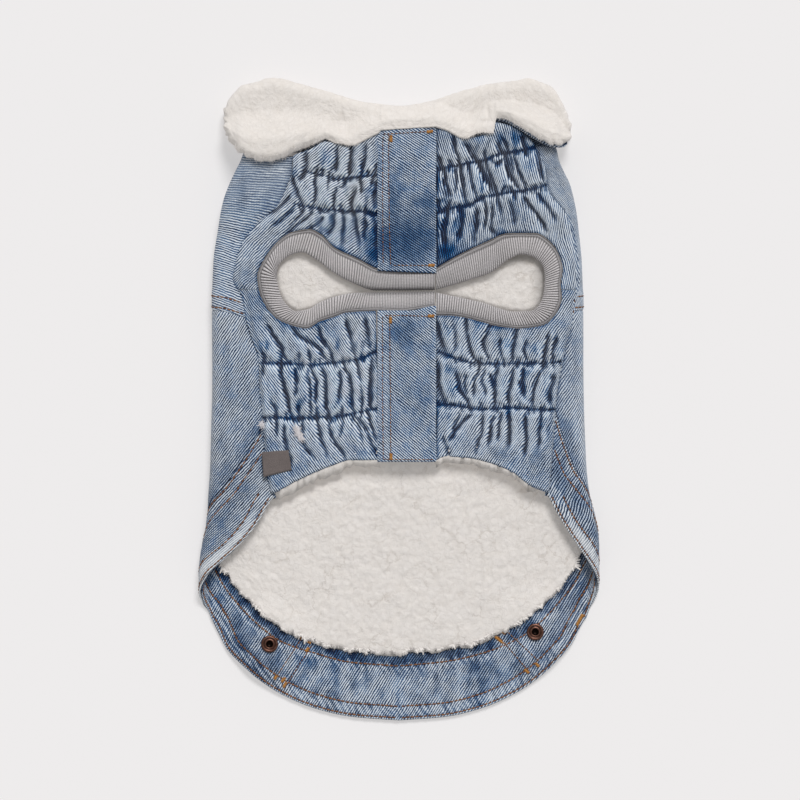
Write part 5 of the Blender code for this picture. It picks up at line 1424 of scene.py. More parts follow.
def lay(obj, skin):
    """Works out the area of the skin that a cloth shows; neither the cloth nor the area is used further."""
    area = shell_area(skin)


def shell_area(grid):
    """Area of one skin, in square metres."""
    d1, d2 = grid[1:, 1:] - grid[:-1, :-1], grid[1:, :-1] - grid[:-1, 1:]
    return float(0.5 * np.linalg.norm(np.cross(d1, d2), axis=-1).sum()) * MM * MM


# Soft creases of the back and sides: distance round from the middle of the back (its
# sign is the side), height, how long up and down, lean, half width, depth.
BACK_CREASES = table(
    "s y reach lean half depth",
    (-38, 96, 26, 0.10, 3.2, 0.55), (22, 88, 30, -0.15, 3.8, 0.60), (62, 104, 22, 0.30, 3.0, 0.50),
    (-74, 60, 24, -0.25, 3.4, 0.50), (-20, 20, 44, 0.05, 4.6, 0.45), (48, 8, 40, -0.10, 4.0, 0.55),
    (-64, -34, 34, 0.22, 3.6, 0.60), (12, -70, 38, -0.06, 4.4, 0.50), (78, -48, 26, 0.35, 3.4, 0.50),
    (-92, 6, 26, 0.12, 3.0, 0.55), (96, 42, 22, -0.20, 3.2, 0.50), (-30, -112, 22, 0.18, 3.4, 0.45),
    (40, -118, 20, -0.22, 3.2, 0.40), (-106, -60, 20, 0.25, 2.8, 0.50), (-2, 128, 14, 0.05, 3.0, 0.40),
    (-112, 44, 20, -0.1, 2.8, 0.45), (112, -10, 24, 0.15, 3.0, 0.45), (86, 120, 12, 0.4, 2.8, 0.5),
)
# Creases of the side panels on top, in plan: depth, half width, lean, points.
SIDE_CREASES = (
    (0.55, 2.6, 0.2, (-93, 139), (-94, 118), (-98, 100)),
    (0.70, 2.4, -0.2, (-78, 116), (-92, 100), (-102, 88)),
    (0.50, 3.0, 0.1, (-104, 40), (-103, 10), (-98, -20)),
    (0.45, 3.2, 0.1, (-96, 36), (-92, 8), (-90, -12)),
    (0.45, 2.6, 0.0, (-106, 20), (-106, -20), (-104, -44)),
    (0.55, 2.4, 0.1, (104, 44), (106, 20), (105, -6)),
    (0.60, 2.6, 0.2, (98, -8), (103, -24), (108, -42)),
    (0.60, 2.2, 0.2, (92, 144), (98, 128), (103, 112)),
    (0.55, 2.2, -0.2, (100, 122), (105, 104), (107, 88)),
)
side_paths = [(d, w, lean, smooth_path(pts, 4.0)) for d, w, lean, *pts in SIDE_CREASES]


def back_folds(W, Y):
    """How the back and sides dip along their soft creases, 0 or below."""
    s = round_run(W, Y)
    out = 0.10 * cloud(s, Y * 0.7, 26.0, 111, 3) - 0.06
    for k in range(len(BACK_CREASES["s"])):
        c = {n: BACK_CREASES[n][k] for n in BACK_CREASES}
        dy = Y - c["y"]
        ds = s - c["s"] - c["lean"] * dy - 2.0 * np.sin(dy / 14.0 + k)
        fade = np.clip(1 - (dy / c["reach"]) ** 2, 0, 1)
        out = out - c["depth"] * fade * np.exp(-((ds / c["half"]) ** 2))
    on_top = np.abs(W) > 1.5
    x = np.where(W < 0, -1, 1) * 0 + tube(W, Y, 0.0)[..., 0]
    for depth, width, lean, path in side_paths:
        d, side, along = near_path(x, Y, path)
        fade = np.sin(math.pi * np.clip(along, 0.04, 0.96)) ** 0.6
        out = out - np.where(on_top, depth * fade * np.exp(-((d / width) ** 2)), 0)
    return out


def low_side(W, up):
    """Keeps the underside flat: nothing stands out below the floor."""
    return np.where(np.abs(W) < 1.15, np.minimum(up, 0.0), up)


def seam_roll(d, reach=1.1, drop=0.7):
    """How the cloth turns in at an edge, by the distance from it."""
    t = np.clip(d / reach, 0, 1)
    return -drop * (1 - np.sqrt(np.clip(1 - (1 - t) ** 2, 0, 1)))


lower_wraps = both_sides(uneven((0, 0.85, 1.15, 2.0, 3.0, 3.15), (64, 14, 24, 30, 3)))
lower_shares = uneven((0, 0.02, 0.98, 1.0), (4, 150, 4))
front_edge_paths = [
    smooth_path(list(zip(FRONT_LEFT["edge_x"][6:22], FRONT_LEFT["edge_y"][6:22])), 3.0),
    smooth_path(list(zip(FRONT_RIGHT["edge_x"][7:24], FRONT_RIGHT["edge_y"][7:24])), 3.0),
]


def side_shadow(W, Y, P):
    """Painted shadow line where the side panels go under the fronts' folded edges."""
    out = np.zeros(W.shape)
    for path in front_edge_paths:
        d, _, _ = near_path(P[..., 0], P[..., 1], path)
        out = np.maximum(out, np.exp(-((d / 1.8) ** 2)))
    return out * (np.abs(W) > 2)


def lower_relief(W, Y, from_low, from_high):
    up = back_folds(W, Y)
    up = up + seam_roll(from_low, 1.0, 0.5) - 0.55 * ease((2.4 - from_high) / 1.4)
    up = up + 0.12 * np.sin(from_low * 0 + round_run(W, Y) / 1.3 + 3 * cloud(W * 30, Y, 9, 121, 2)) * np.exp(-from_low / 4.0)
    return low_side(W, up)


def lower_wash(W, Y, P, up, from_low, from_high):
    s = round_run(W, Y)
    side = np.where(W < 0, 0.59 - 0.06 * ease((10 - Y) / 60.0), 0.60)
    wash = side + 0.085 * cloud(s, Y, 30.0, 131, 3) + 0.04 * cloud(s, Y, 7.0, 133, 3) + 0.04 * cloud(s * 2, Y * 0.5, 4.0, 134, 2)
    # paler on the folds' rises, partly worn and partly painted light; painted shade in their creases
    wash = wash + 0.22 * np.clip(up + 0.12, -0.6, 0.3)
    # rubbed pale along the side folds and darker low on the sides; painted shade under the yoke's folded edge and a
    # painted dark line along the waistband's edge
    wash = wash + 0.08 * np.exp(-(((np.abs(W) - 1.6) / 0.35) ** 2))
    wash = wash - 0.16 * np.exp(-((from_low / 12.0) ** 2)) * (np.abs(W) > 1.2)
    wash = wash - 0.30 * np.exp(-((from_high / 1.2) ** 2))
    wash = wash - 0.14 * side_shadow(W, Y, P)
    wash = wash - 0.30 * np.exp(-(((from_low - 0.3) / 0.8) ** 2)) * ease((np.abs(W) - 1.0) / 0.3)
    grey = 0.10 + 0.12 * cloud(s, Y, 40.0, 135, 2)
    return wash, grey, np.where(W < 0, 1.08, 0.86), 0.0


lower_cloth, lower_skin = tube_cloth(
    "back_lower_cloth", "back_lower", lower_wraps, lambda s, a: wrap_line["band", s](a) + 0.3,
    lambda s, a: yoke_seam(a) - YOKE_DROP + 1.4, lower_shares, 0.0, 0.95, lower_relief, lower_wash,
    (125, 125), (1.34, 1.34), "denim_light", (4, 6), (0.335, 0.225))

yoke_wraps = both_sides(uneven((0, 0.85, 1.15, 2.0, 3.0, 3.15), (62, 14, 24, 30, 3)))
yoke_shares = uneven((0, 0.03, 0.97, 1.0), (5, 74, 4))


def yoke_relief(W, Y, from_low, from_high):
    up = back_folds(W, Y) + 0.30 * ease((13.0 - from_low) / 3.0)
    up = up + seam_roll(from_low, 1.0, 0.8) + seam_roll(from_high, 1.4, 0.6)
    for row in (2.0, 8.6):
        up = up - 0.28 * np.exp(-(((from_low - row) / 0.6) ** 2))
        up = up + 0.12 * np.sin(round_run(W, Y) / 1.5 + 2.5 * cloud(W * 30, Y, 8, 141, 2)) * np.exp(-(((from_low - row) / 2.2) ** 2))
    return low_side(W, up - 0.05)


def yoke_wash(W, Y, P, up, from_low, from_high):
    s = round_run(W, Y)
    wash = np.where(W < -1, 0.70, 0.70) + 0.04 * ease(W - 1.0) + 0.08 * cloud(s, Y, 26.0, 143, 3) + 0.06 * cloud(s, Y, 6.0, 145, 3)
    # paler on the folds' rises, partly worn and partly painted light; painted shade in their creases
    wash = wash + 0.22 * np.clip(up - 0.1, -0.6, 0.3)
    dim = np.where(W < 0, 0.16 * ease((Y - 104.0) / 20.0), 0.22 * ease((Y - 112.0) / 26.0)) * (np.abs(W) > 1.2)
    wash = wash - dim + np.where(W < 0, 0.03, 0.05) * (np.abs(W) > 1.2)
    wash = wash + 0.10 * np.exp(-(((from_low - 0.9) / 0.8) ** 2)) - 0.08 * np.exp(-(((from_low - 5.3) / 2.0) ** 2))
    wash = wash - 0.14 * side_shadow(W, Y, P)
    # on the left the twill swings round as it nears the seam
    swing = np.where(W < -0.93, (P[..., 0] + 104.0) * np.tan(np.radians(3.0 + 20.0 * ease((142.0 - Y) / 80.0))), 0.0)
    crisp = np.where(W < 0, 0.92 - 0.34 * ease((Y - 98.0) / 22.0), 0.80)
    return wash, 0.14 + 1.0 * dim + 0.12 * cloud(s, Y, 34.0, 147, 2), crisp, -swing


yoke_cloth, yoke_skin = tube_cloth(
    "back_yoke_cloth", "back_yoke", yoke_wraps, lambda s, a: yoke_seam(a) - YOKE_DROP,
    lambda s, a: yoke_neck[s](a), yoke_shares, 0.0, 0.95, yoke_relief, yoke_wash,
    (179, 74), (1.42, 1.12), "denim_light", (4, 6), (0.335, 0.100))

band_wraps = both_sides(uneven((0, 0.85, 1.15, 2.0, 3.0, 3.12), (86, 18, 30, 34, 3)))


def band_rows(d_low, d_high, W, Y, wide=True):
    """Grooves and roping of the waistband's stitched rows."""
    up = 0.0
    for d, at in ((d_high, 1.3), (d_high, 7.3), (d_low, 1.7), (d_low, 8.6)):
        if at == 7.3 and not wide:
            continue
        up = up - 0.30 * np.exp(-(((d - at) / 0.55) ** 2))
        up = up + 0.16 * np.sin(round_run(W, Y) / 0.95 + Y / 1.2 + 2.5 * cloud(W * 40, Y, 8, 151, 2)) * np.exp(-(((d - at) / 2.4) ** 2))
    return up


def band_distances(W, Y):
    return line_gap("hem", W, Y), -line_gap("band", W, Y)


def band_relief(W, Y, from_low, from_high):
    low, high = band_distances(W, Y)
    up = 0.6 * back_folds(W, Y) + band_rows(low, high, W, Y) + seam_roll(low, 1.0, 0.55) + seam_roll(high, 0.9, 0.4) + 0.15
    return low_side(W, up)


def band_wash(W, Y, P, up, from_low, from_high):
    low, high = band_distances(W, Y)
    s = round_run(W, Y)
    wash = np.where(W < 0, 0.455, 0.40) + 0.09 * cloud(s, Y, 14.0, 153, 3) + 0.07 * cloud(s, Y, 4.5, 155, 3)
    # paler on the rises and along the roped rows, partly worn and partly painted light; painted shade in the stitched
    # grooves and creases
    wash = wash + 0.35 * np.clip(up, -0.5, 0.35)
    wash = wash + 0.16 * np.exp(-(((low - 5.0) / 2.8) ** 2)) + 0.14 * np.exp(-((high / 0.9) ** 2))
    wash = wash - 0.08 * np.exp(-(((high - 12.0) / 3.5) ** 2))
    rope = np.sin(s / 1.05 + Y / 1.25 + 2.6 * cloud(s, Y, 7.0, 158, 2))
    wash = wash + 0.15 * rope * (np.exp(-(((low - 5.0) / 3.6) ** 4)) + 0.7 * np.exp(-(((high - 4.2) / 3.2) ** 4)))
    # rubbed pale where the lowest strip turns in
    strip = np.exp(-(((low - 4.6) / 3.0) ** 4)) * ease((-62.0 - Y) / 24.0) * ease((np.abs(W) - 1.0) / 0.5)
    wash = wash + np.where(W < 0, 0.46, 0.30) * strip
    wash = wash + 0.12 * np.exp(-(((Y + 102.0) / 11.0) ** 2)) * (W < -1)
    # the hem's own edge is worn nearly white
    worn = np.exp(-(((low - 0.3) / 0.9) ** 4)) * (0.55 + 0.45 * ease((np.abs(W) - 1.0) / 0.5))
    wash = wash + (1.02 - wash) * worn
    return wash, 0.10 + 0.10 * cloud(s, Y, 30.0, 157, 2) + 0.6 * worn + 0.6 * strip, 1.12 - 0.55 * strip, 0.0


band_cloth, band_skin = tube_cloth(
    "waistband_cloth", "waistband_outer", band_wraps, lambda s, a: wrap_line["hem", s](a),
    lambda s, a: wrap_line["band", s](a) + 0.1, uneven((0, 0.05, 0.95, 1.0), (4, 42, 4)), 0.0, 0.85,
    band_relief, band_wash, (131, 131), (1.34, 1.34), "denim_light", (4, 6), (0.385, 0.036))


def facing_relief(W, Y, from_low, from_high):
    low, high = band_distances(W, Y)
    up = band_rows(low, high, W, Y, wide=False) + 0.10 * cloud(W * 90, Y, 12, 161, 3)
    # the two cross seams of the hem's tab
    for path in CROSS_PATHS:
        x = tube(W, Y, 2.7)[..., 0]
        d, side, _ = near_path(x, Y, path)
        up = up + 0.35 * np.exp(-((d / 3.4) ** 4)) - 0.30 * np.exp(-((d / 0.5) ** 2))
    return up + seam_roll(low, 1.2, 0.8)


CROSS_SEAMS = (
    ((-58.6, -142.5), (-74.8, -166.8)), ((-52.6, -146.7), (-68.8, -171.9)),
    ((62.6, -138.3), (84.2, -158.4)), ((59.0, -142.5), (77.6, -164.1)),
)
CROSS_PATHS = [smooth_path(pts, 3.0) for pts in CROSS_SEAMS]


def facing_wash(W, Y, P, up, from_low, from_high):
    low, high = band_distances(W, Y)
    s = round_run(W, Y)
    a = np.abs(W)
    wash = 0.50 - 0.12 * ease((a - 0.35) / 0.5) * (W < 0) - 0.05 * ease((a - 0.35) / 0.5) * (W > 0)
    wash = wash + 0.13 * cloud(s, Y, 12.0, 163, 3) + 0.13 * cloud(s, Y, 4.5, 165, 3)
    # paler on the rises and along the roped rows, partly worn and partly painted light; painted shade in the stitched
    # grooves and seams
    wash = wash + 0.40 * np.clip(up, -0.5, 0.3)
    wash = wash + 0.14 * np.exp(-(((low - 5.2) / 2.4) ** 2)) + 0.65 * np.exp(-((low / 0.9) ** 2)) * (a < 1.5)
    rope = np.sin(s / 0.70 + Y / 1.0 + 2.2 * cloud(s, Y, 7.0, 168, 2))
    wash = wash + 0.24 * rope * (np.exp(-(((low - 5.0) / 3.6) ** 4)) + 0.8 * np.exp(-(((high - 2.6) / 3.4) ** 4)))
    wash = wash + 0.17 * cloud(s * 1.3, Y * 0.6, 6.0, 169, 2)
    # at the pile's edge a ragged dark band: the frayed ends, with painted shade under the pile's edge; a little farther
    # out, painted light lifts the pile's shadow
    fray_and_shade_reach = 0.5 + 1.6 * np.clip(cloud(s, 0 * s, 2.2, 172, 2), -0.5, 1)
    wash = wash + 0.10 * np.exp(-(((high - 3.0) / 3.0) ** 2)) - 0.24 * ease((fray_and_shade_reach - high) / 0.7)
    return wash, 0.10 + 0.03 * ease((a - 0.35) / 0.5) * (W > 0) + 0.12 * cloud(s, Y, 26.0, 167, 2), 0.92, 0.0


facing_cloth, facing_skin = tube_cloth(
    "waistband_facing_cloth", "waistband_facing", band_wraps, lambda s, a: wrap_line["hem", s](a) + 0.35,
    lambda s, a: wrap_line["face", s](a) - 0.2, uneven((0, 0.04, 0.97, 1.0), (4, 54, 3)),
    FACING_DEPTH + 1.0, FACING_DEPTH, facing_relief, facing_wash, (58, 58), (1.36, 1.36), "denim_facing", (4, 6),
    (0.385, 0.038))


# Stitched rows round the tube.
for side in (-1, 1):
    for name, inset, last in (("band", -1.3, 3), ("band", -7.3, 3), ("hem", 8.6, 3), ("hem", 1.7, 3)):
        a, y = line_path(name, side, inset, 0.0, 2.99)
        pts = tube(side * np.maximum(a, 1e-6), y, 0.22)
        out = pts - tube(side * np.maximum(a, 1e-6), y, 1.22)
        stitch_row(tan_thread, pts, out, *STITCH, rise=0.10)
        if inset == -7.3:
            continue
        pts = tube(side * np.maximum(a, 1e-6), y, FACING_DEPTH + 1.0 - 0.2)
        out = tube(side * np.maximum(a, 1e-6), y, FACING_DEPTH + 2.0) - pts
        keep = a < 1.9
        stitch_row(tan_thread, pts[keep], out[keep], *STITCH)
    for above in (2.0, 8.6):
        a = np.linspace(0.0, 2.99, 300)
        y = yoke_seam(a) - YOKE_DROP + above
        pts = tube(side * np.maximum(a, 1e-6), y, -0.02 * (a > 1.2) + 0.1)
        out = pts - tube(side * np.maximum(a, 1e-6), y, 1.2)
        stitch_row(tan_thread, pts, out, *STITCH, rise=0.10)

# The facing's cross seams and their bar tacks.
TACKS = (  # x, y, turn in degrees, length
    (-58.4, -142.2, 56, 3.0), (-54.6, -145.6, -25, 3.4), (-55.0, -150.4, 56, 2.4), (-74.0, -167.0, 56, 2.2),
    (-69.4, -168.6, 50, 2.8), (-68.5, -171.6, 62, 3.0), (60.6, -144.6, -38, 6.0), (63.0, -140.0, -40, 2.5),
    (77.0, -163.4, -40, 3.0), (83.3, -159.6, -45, 2.4), (108.9, -132.6, 62, 7.0),
)


def on_facing(x, y):
    """A height a little over the facing's inner skin on the lower layer."""
    return FACING_DEPTH + 1.0 + lift(y) + button_rise(x, y)


for path in CROSS_PATHS:
    for shift in (-0.9, 0.9):
        d = path[-1] - path[0]
        n = np.array([-d[1], d[0]]) / np.hypot(*d)
        p = path + n * shift
        p = np.stack([np.interp(np.linspace(0, 1, 40), np.linspace(0, 1, len(p)), p[:, k]) for k in (0, 1)], axis=1)
        pts = np.stack([p[:, 0], p[:, 1], on_facing(p[:, 0], p[:, 1]) + 0.25], axis=1)
        if shift > 0:
            stitch_row(tan_thread, pts, np.tile([0, 0, 1.0], (len(pts), 1)), 2.0, 0.35, 0.33)


def bar_tack(x, y, turn, length, height, seed):
    """A close zigzag of heavy stitches."""
    t = math.radians(turn)
    n = int(length / 0.42)
    k = np.linspace(-0.5, 0.5, n) * length
    rng = np.random.default_rng(seed)
    cx, cy = x + k * math.cos(t), y + k * math.sin(t)
    w = 0.95
    q = np.linspace(-1, 1, 5)
    zig = np.where(np.arange(n) % 2 == 0, 0.25, -0.25)[:, None]
    px = cx[:, None] - math.sin(t) * q[None, :] * w + math.cos(t) * zig * q[None, :]
    py = cy[:, None] + math.cos(t) * q[None, :] * w + math.sin(t) * zig * q[None, :]
    pz = height + 0.25 + 0.28 * np.sqrt(np.clip(1 - q ** 2, 0, 1))[None, :] + rng.normal(0, 0.03, (n, 1))
    centre = np.stack([px, py, pz + 0 * px], axis=-1)
    normal = np.zeros_like(centre)
    normal[..., 2] = 1
    radii = 0.36 * np.array([0.6, 1, 1.05, 1, 0.6])[None, :] * np.ones((n, 1))
    gold_thread.add(centre, normal, radii, 6, (1, 1, 1))


for k, (x, y, turn, length) in enumerate(TACKS):
    bar_tack(x, y, turn, length, float(on_facing(np.array(x), np.array(y))), 40 + k)


# Stitched rows of the plackets: two lines down the left edge and one across each end.
def on_placket(x, y):
    return top(y) + 3.3 - 0.5 * np.abs((x - PLACKET_X0) / (PLACKET_X1 - PLACKET_X0) * 2 - 1) ** 3


PLACKET_ROWS = (
    ((-9.4, 158.5), (-9.6, 120.0), (-9.3, 80.5)), ((-6.0, 159.0), (-5.8, 120.0), (-4.9, 80.5)),
    ((-9.8, 50.0), (-9.6, 6.0), (-9.3, -36.0)), ((-5.4, 50.0), (-5.0, 6.0), (-4.7, -36.0)),
    ((-10.0, 158.6), (6.0, 159.5), (21.0, 160.5)), ((-4.4, 80.4), (8.0, 80.3), (21.2, 80.2)),
    ((-9.0, 50.4), (6.0, 50.2), (20.6, 49.6)), ((-10.0, -35.8), (6.0, -36.0), (21.2, -36.0)),
)
for pts in PLACKET_ROWS:
    p = smooth_path(pts, 1.0)
    pts3 = np.stack([p[:, 0], p[:, 1], on_placket(p[:, 0], p[:, 1]) + placket_relief(p[:, 0], p[:, 1]) + 0.02], axis=1)
    stitch_row(tan_thread, pts3, np.tile([0, 0, 1.0], (len(pts3), 1)), 1.9, 0.45, 0.29, rise=0.12)
for x, y, turn in ((-4.6, 156.0, 90), (18.6, 160.2, 8), (-4.9, 47.6, 90), (19.4, 50.0, 0), (-4.6, -34.2, 90), (19.6, 80.4, 0)):
    bar_tack(x, y, turn, 3.2, float(on_placket(np.array(x), np.array(y))) + 0.05, 60 + int(y))

for path in row_paths:
    fine = smooth_path([tuple(p) for p in path[::4]] + [tuple(path[-1])], 0.5)
    z = front_surface(fine[:, 0], fine[:, 1])
    pts3 = np.stack([fine[:, 0], fine[:, 1], z + 0.05], axis=1)
    n = 5
    k = np.ones(n) / n
    pts3[:, 2] = np.convolve(np.pad(pts3[:, 2], n // 2, mode="edge"), k, mode="valid")[: len(pts3)]
    stitch_row(navy_thread, pts3, np.tile([0, 0, 1.0], (len(pts3), 1)), 1.7, 0.6, 0.22, rise=0.14)


# ---------------------------------------------------------------- sherpa
PILE = linear((234, 229, 225))


def pile(s, y, seed, big=6.0, fine=2.4):
    """Height of curled pile over its backing, from 0 to about 1, and its hollows."""
    wx = s + 2.6 * cloud(s, y, 7.0, seed + 1, 3)
    wy = y + 2.6 * cloud(s, y, 7.0, seed + 2, 3)
    a, own = lumps(wx, wy, big, seed + 3)
    b, _ = lumps(wx * 1.0 + 3.1, wy * 1.1, fine, seed + 4)
    a, b = a * a * (3 - 2 * np.minimum(a, 1)), b * b * (3 - 2 * np.minimum(b, 1))
    c = 0.5 + 0.5 * cloud(s, y, 2.6, seed + 5, 3)
    body = 0.22 * a + 0.16 * own + 0.14 * b + 0.28 * c + 0.20 * (0.5 + 0.5 * cloud(s, y, 11.0, seed + 6, 2))
    return body, a, b


def pile_colour(body, a, b, warm=0.0):
    shade = 0.93 + 0.08 * np.clip(body * 1.3, 0, 1)
    c = PILE * shade[..., None]
    tint = np.stack([1 + 0 * shade, 0.985 + 0.015 * shade, 0.96 + 0.04 * shade], axis=-1)
    return c * tint


lining_wraps = both_sides(uneven((0, 0.98, 1.2, 2.8), (110, 6, 10)))
lining_shares = uneven((0, 0.02, 0.46, 0.57, 0.84, 1.0), (5, 116, 8, 64, 10))
W = lining_wraps[:, None]
y0 = np.where(W < 0, wrap_line["face", -1](np.abs(W)), wrap_line["face", 1](np.abs(W))) + 0.6
y1 = np.where(W < 0, yoke_neck[-1](np.abs(W)), yoke_neck[1](np.abs(W))) - 1.0
s_edge = round_run(W, y0)
ragged = 1.7 * lumps(s_edge, 0 * s_edge, 5.2, 171)[0] + 1.3 * cloud(s_edge, 0 * s_edge, 2.0, 173, 2) - 0.6
y0 = y0 - ragged
Y = y0 + (y1 - y0) * lining_shares[None, :]
W = W + 0 * Y
S = round_run(W, Y)
body, heap, curl = pile(S, Y, 175)
edge = np.clip((Y - y0) / 3.4, 0, 1)
round_off = np.sqrt(np.clip(1 - (1 - edge) ** 2, 0, 1))
thick = (1.5 + 2.1 * body) * (0.22 + 0.78 * round_off)
thick = np.where(np.abs(W) > 1.0, np.minimum(thick, 3.2), thick + 0.5 * round_off)
lining_skin = tube(W, Y, LINING_DEPTH + 0.15 + thick)
# the pile stands up into the two openings
below = np.abs(W) < 1.0
lining_skin[..., 2] += np.where(below, 4.6 * fronts.at(opening, lining_skin[..., 0], np.clip(lining_skin[..., 1], -60, 168)), 0)
lining_back = tube(W, Y, LINING_DEPTH + 0 * Y + 0.05)
colour = pile_colour(body, heap, curl) * (0.80 + 0.20 * round_off)[..., None]
# the right opening lies in its band's shade, up and to the right
lx, ly = lining_skin[..., 0], lining_skin[..., 1]
shade = np.clip(np.maximum((lx - 77.0) / 9.0, (ly - 76.5) / 8.0), 0, 1) * (np.abs(lx - 66.0) < 26.0) * (np.abs(ly - 70.0) < 20.0) * below
colour = colour * (1 - 0.42 * shade ** 1.5)[..., None]
# painted light in the shade close under the belly hem, which lifts the pile there
hem_x, hem_y = (-90.0, -76.0, -61.6, -49.6, -37.6, -28.0, -11.2, 22.3, 40.4, 54.8, 69.2, 77.6, 92.0), (-66.0, -56.4, -49.5, -43.9, -39.3, -36.9, -37.2, -37.4, -35.5, -38.7, -44.7, -51.3, -60.0)
under_hem = np.interp(lx, hem_x, hem_y) - ly
colour = colour * (1 + 0.13 * np.exp(-((np.maximum(np.abs(under_hem - 3.0) - 2.0, 0) / 7.0) ** 2)) * below)[..., None]
uv = np.stack([S, Y], axis=-1)
lining = shell("back_lining_pile", lining_skin, lining_back, (6, 4), colour, uv, "sherpa_pile")
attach(lining, "root")
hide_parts("back_lining")
lay(lining, lining_back)

# Tufts on the lining's lower edge, over the facing, with the facing's own frayed ends.
rng = np.random.default_rng(17)
edge_line = lining_skin[:, 1][np.abs(lining_wraps) < 1.05]
run = np.concatenate([[0], np.cumsum(np.linalg.norm(np.diff(edge_line, axis=0), axis=1))])


def edge_points(count):
    at = rng.uniform(0, run[-1], count)
    base = np.stack([np.interp(at, run, edge_line[:, k]) for k in range(3)], axis=1)
    tangent = np.stack([np.interp(at + 1.5, run, edge_line[:, k]) - np.interp(at - 1.5, run, edge_line[:, k]) for k in range(3)], axis=1)
    out = np.cross(tangent, [0, 0, 1.0])
    out /= np.linalg.norm(out, axis=1, keepdims=True) + 1e-9
    out *= np.sign(np.einsum("ij,ij->i", out, base - [0, -40.0, 0]))[:, None]
    return at, base, out


at, base, out = edge_points(520)
clump = np.clip(0.55 + 0.5 * np.sin(at / 1.9 + 1.5 * np.sin(at / 5.3)) + 0.3 * np.sin(at / 6.7), 0.1, 1.3)
base = base - 0.7 * out + [0, 0, 0.1]
hairs(pile_fibres, base, out + rng.normal(0, 0.5, (520, 3)) * [1, 1, 0.3] - [0, 0, 0.1], 1.9 * clump * rng.uniform(0.6, 1.2, 520), 0.62, PILE, 18, 0.1, 0.72, 5)
at, base, out = edge_points(1300)
hairs(pile_fibres, base - out * rng.uniform(-0.6, 1.6, (1300, 1)) + [0, 0, 0.2], out + rng.normal(0, 0.7, (1300, 3)) * [1, 1, 0.5], 1.5 * rng.uniform(0.5, 1.3, 1300), 0.10, PILE, 19)
at, base, out = edge_points(700)
base = base + out * rng.uniform(0.2, 2.6, (700, 1))
base[:, 2] = on_facing(base[:, 0], base[:, 1]) + 0.15
clump = np.clip(0.4 + 0.6 * np.sin(at / 4.1) * np.sin(at / 9.7 + 1), 0.15, 1.2)
hairs(dark_fibres, base, -out + rng.normal(0, 0.6, (700, 3)) * [1, 1, 0.2] + [0, 0, 1.1], 3.2 * clump * rng.uniform(0.5, 1.2, 700), 0.13,
      linear((48, 58, 84))[None, :] * rng.uniform(0.4, 1.9, (700, 1)), 21)


def reach_to_hem(name, far, early):
    neck, hem = LINING_ENDS[name]

    def of(u, length):
        inset = 1.0 + 2.5 * ease((u - neck + 0.5) / 0.5) - (3.5 + far) * ease((u - hem + early) / 0.3)
        return 1.0 - inset / length

    return of


def make_front_lining(name, rib_table, front_table, steps, node, seed, early):
    plan, us, length = front_plan(rib_table, front_table, steps[0], steps[1], 0.8, reach_to_hem(node, 2.1, early))
    x, y = plan[..., 0], plan[..., 1]
    body, heap, curl = pile(x, y, seed, 4.6, 2.0)
    along = np.concatenate([[0], np.cumsum(np.hypot(*np.diff(plan[:, -1], axis=0).T))])
    hem = ease((us - LINING_ENDS[node][1] + early) / 0.3)[:, None]
    bead = lumps(along, 0 * along, 4.4, seed + 5)[0][:, None] + 0.5 * cloud(along, 0 * along, 2.0, seed + 6, 2)[:, None]
    t = np.linspace(0, 1, steps[1] + 1)[None, :]
    reach = reach_to_hem(node, 2.1, early)(us, length)[:, None]
    past = np.clip(t * reach * length[:, None] - (length[:, None] - 1.0), 0, None) * hem
    d = plan[:, -1] - plan[:, -2]
    d /= np.hypot(*d.T)[:, None] + 1e-9
    wide = 2.2 * ease((-26.0 - plan[:, -1, 0]) / 12.0)[:, None]
    push = (2.4 * bead - 0.4 + wide) * hem * np.clip(past / 2.5, 0, 1)
    x, y = x + d[:, None, 0] * push, y + d[:, None, 1] * push
    z = top(y) - 1.85 + 0.2 * body
    end = np.clip((t.max() - t) * reach * length[:, None] / 2.0, 0, 1)
    crown = np.sqrt(np.clip(1 - (1 - end) ** 2, 0, 1))
    z = z + hem * np.clip((past + 0.6) / 1.5, 0, 1) * (2.7 + 1.3 * bead + 0.8 * body) * crown - 1.0 * (1 - crown) * hem
    outer = np.stack([x, y, z], axis=-1)
    inner = np.stack([x, y, top(y) - 1.85 - 3.2 + 0 * z], axis=-1)
    colour = pile_colour(body, heap, curl) * (0.82 + 0.18 * crown)[..., None]
    obj = shell(name, outer, inner, (4, 4), colour, np.stack([x, y], axis=-1), "sherpa_pile")
    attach(obj, "root")
    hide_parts(node)
    lay(obj, inner)
    # fuzz past the hem
    rng = np.random.default_rng(seed)
    rows = np.flatnonzero(us > LINING_ENDS[node][1] + 0.2)
    pick = rng.choice(rows, 700)
    base = outer[pick, -3] + rng.normal(0, 0.25, (700, 3)) + [0, 0, 0.2]
    aim = np.concatenate([d[pick], np.full((700, 1), 0.2)], axis=1) + rng.normal(0, 0.5, (700, 3))
    hairs(pile_fibres, base, aim, 1.3 * rng.uniform(0.5, 1.4, 700), 0.09, PILE, seed + 9)
    pick = rng.choice(rows, 340)
    base = outer[pick, -4] + rng.normal(0, 0.5, (340, 3)) * [1, 1, 0.5]
    aim = np.concatenate([d[pick], np.full((340, 1), 0.15)], axis=1) + rng.normal(0, 0.6, (340, 3)) * [1, 1, 0.5]
    hairs(pile_fibres, base, aim, 1.7 * rng.uniform(0.5, 1.3, 340), 0.55, PILE, seed + 11, 0.0, 0.7, 5)
    return obj


make_front_lining("front_lining_left_pile", RIB_LEFT, FRONT_LEFT, (280, 40), "front_lining_left", 181, 0.2)
make_front_lining("front_lining_right_pile", RIB_RIGHT, FRONT_RIGHT, (280, 40), "front_lining_right", 191, 0.0)

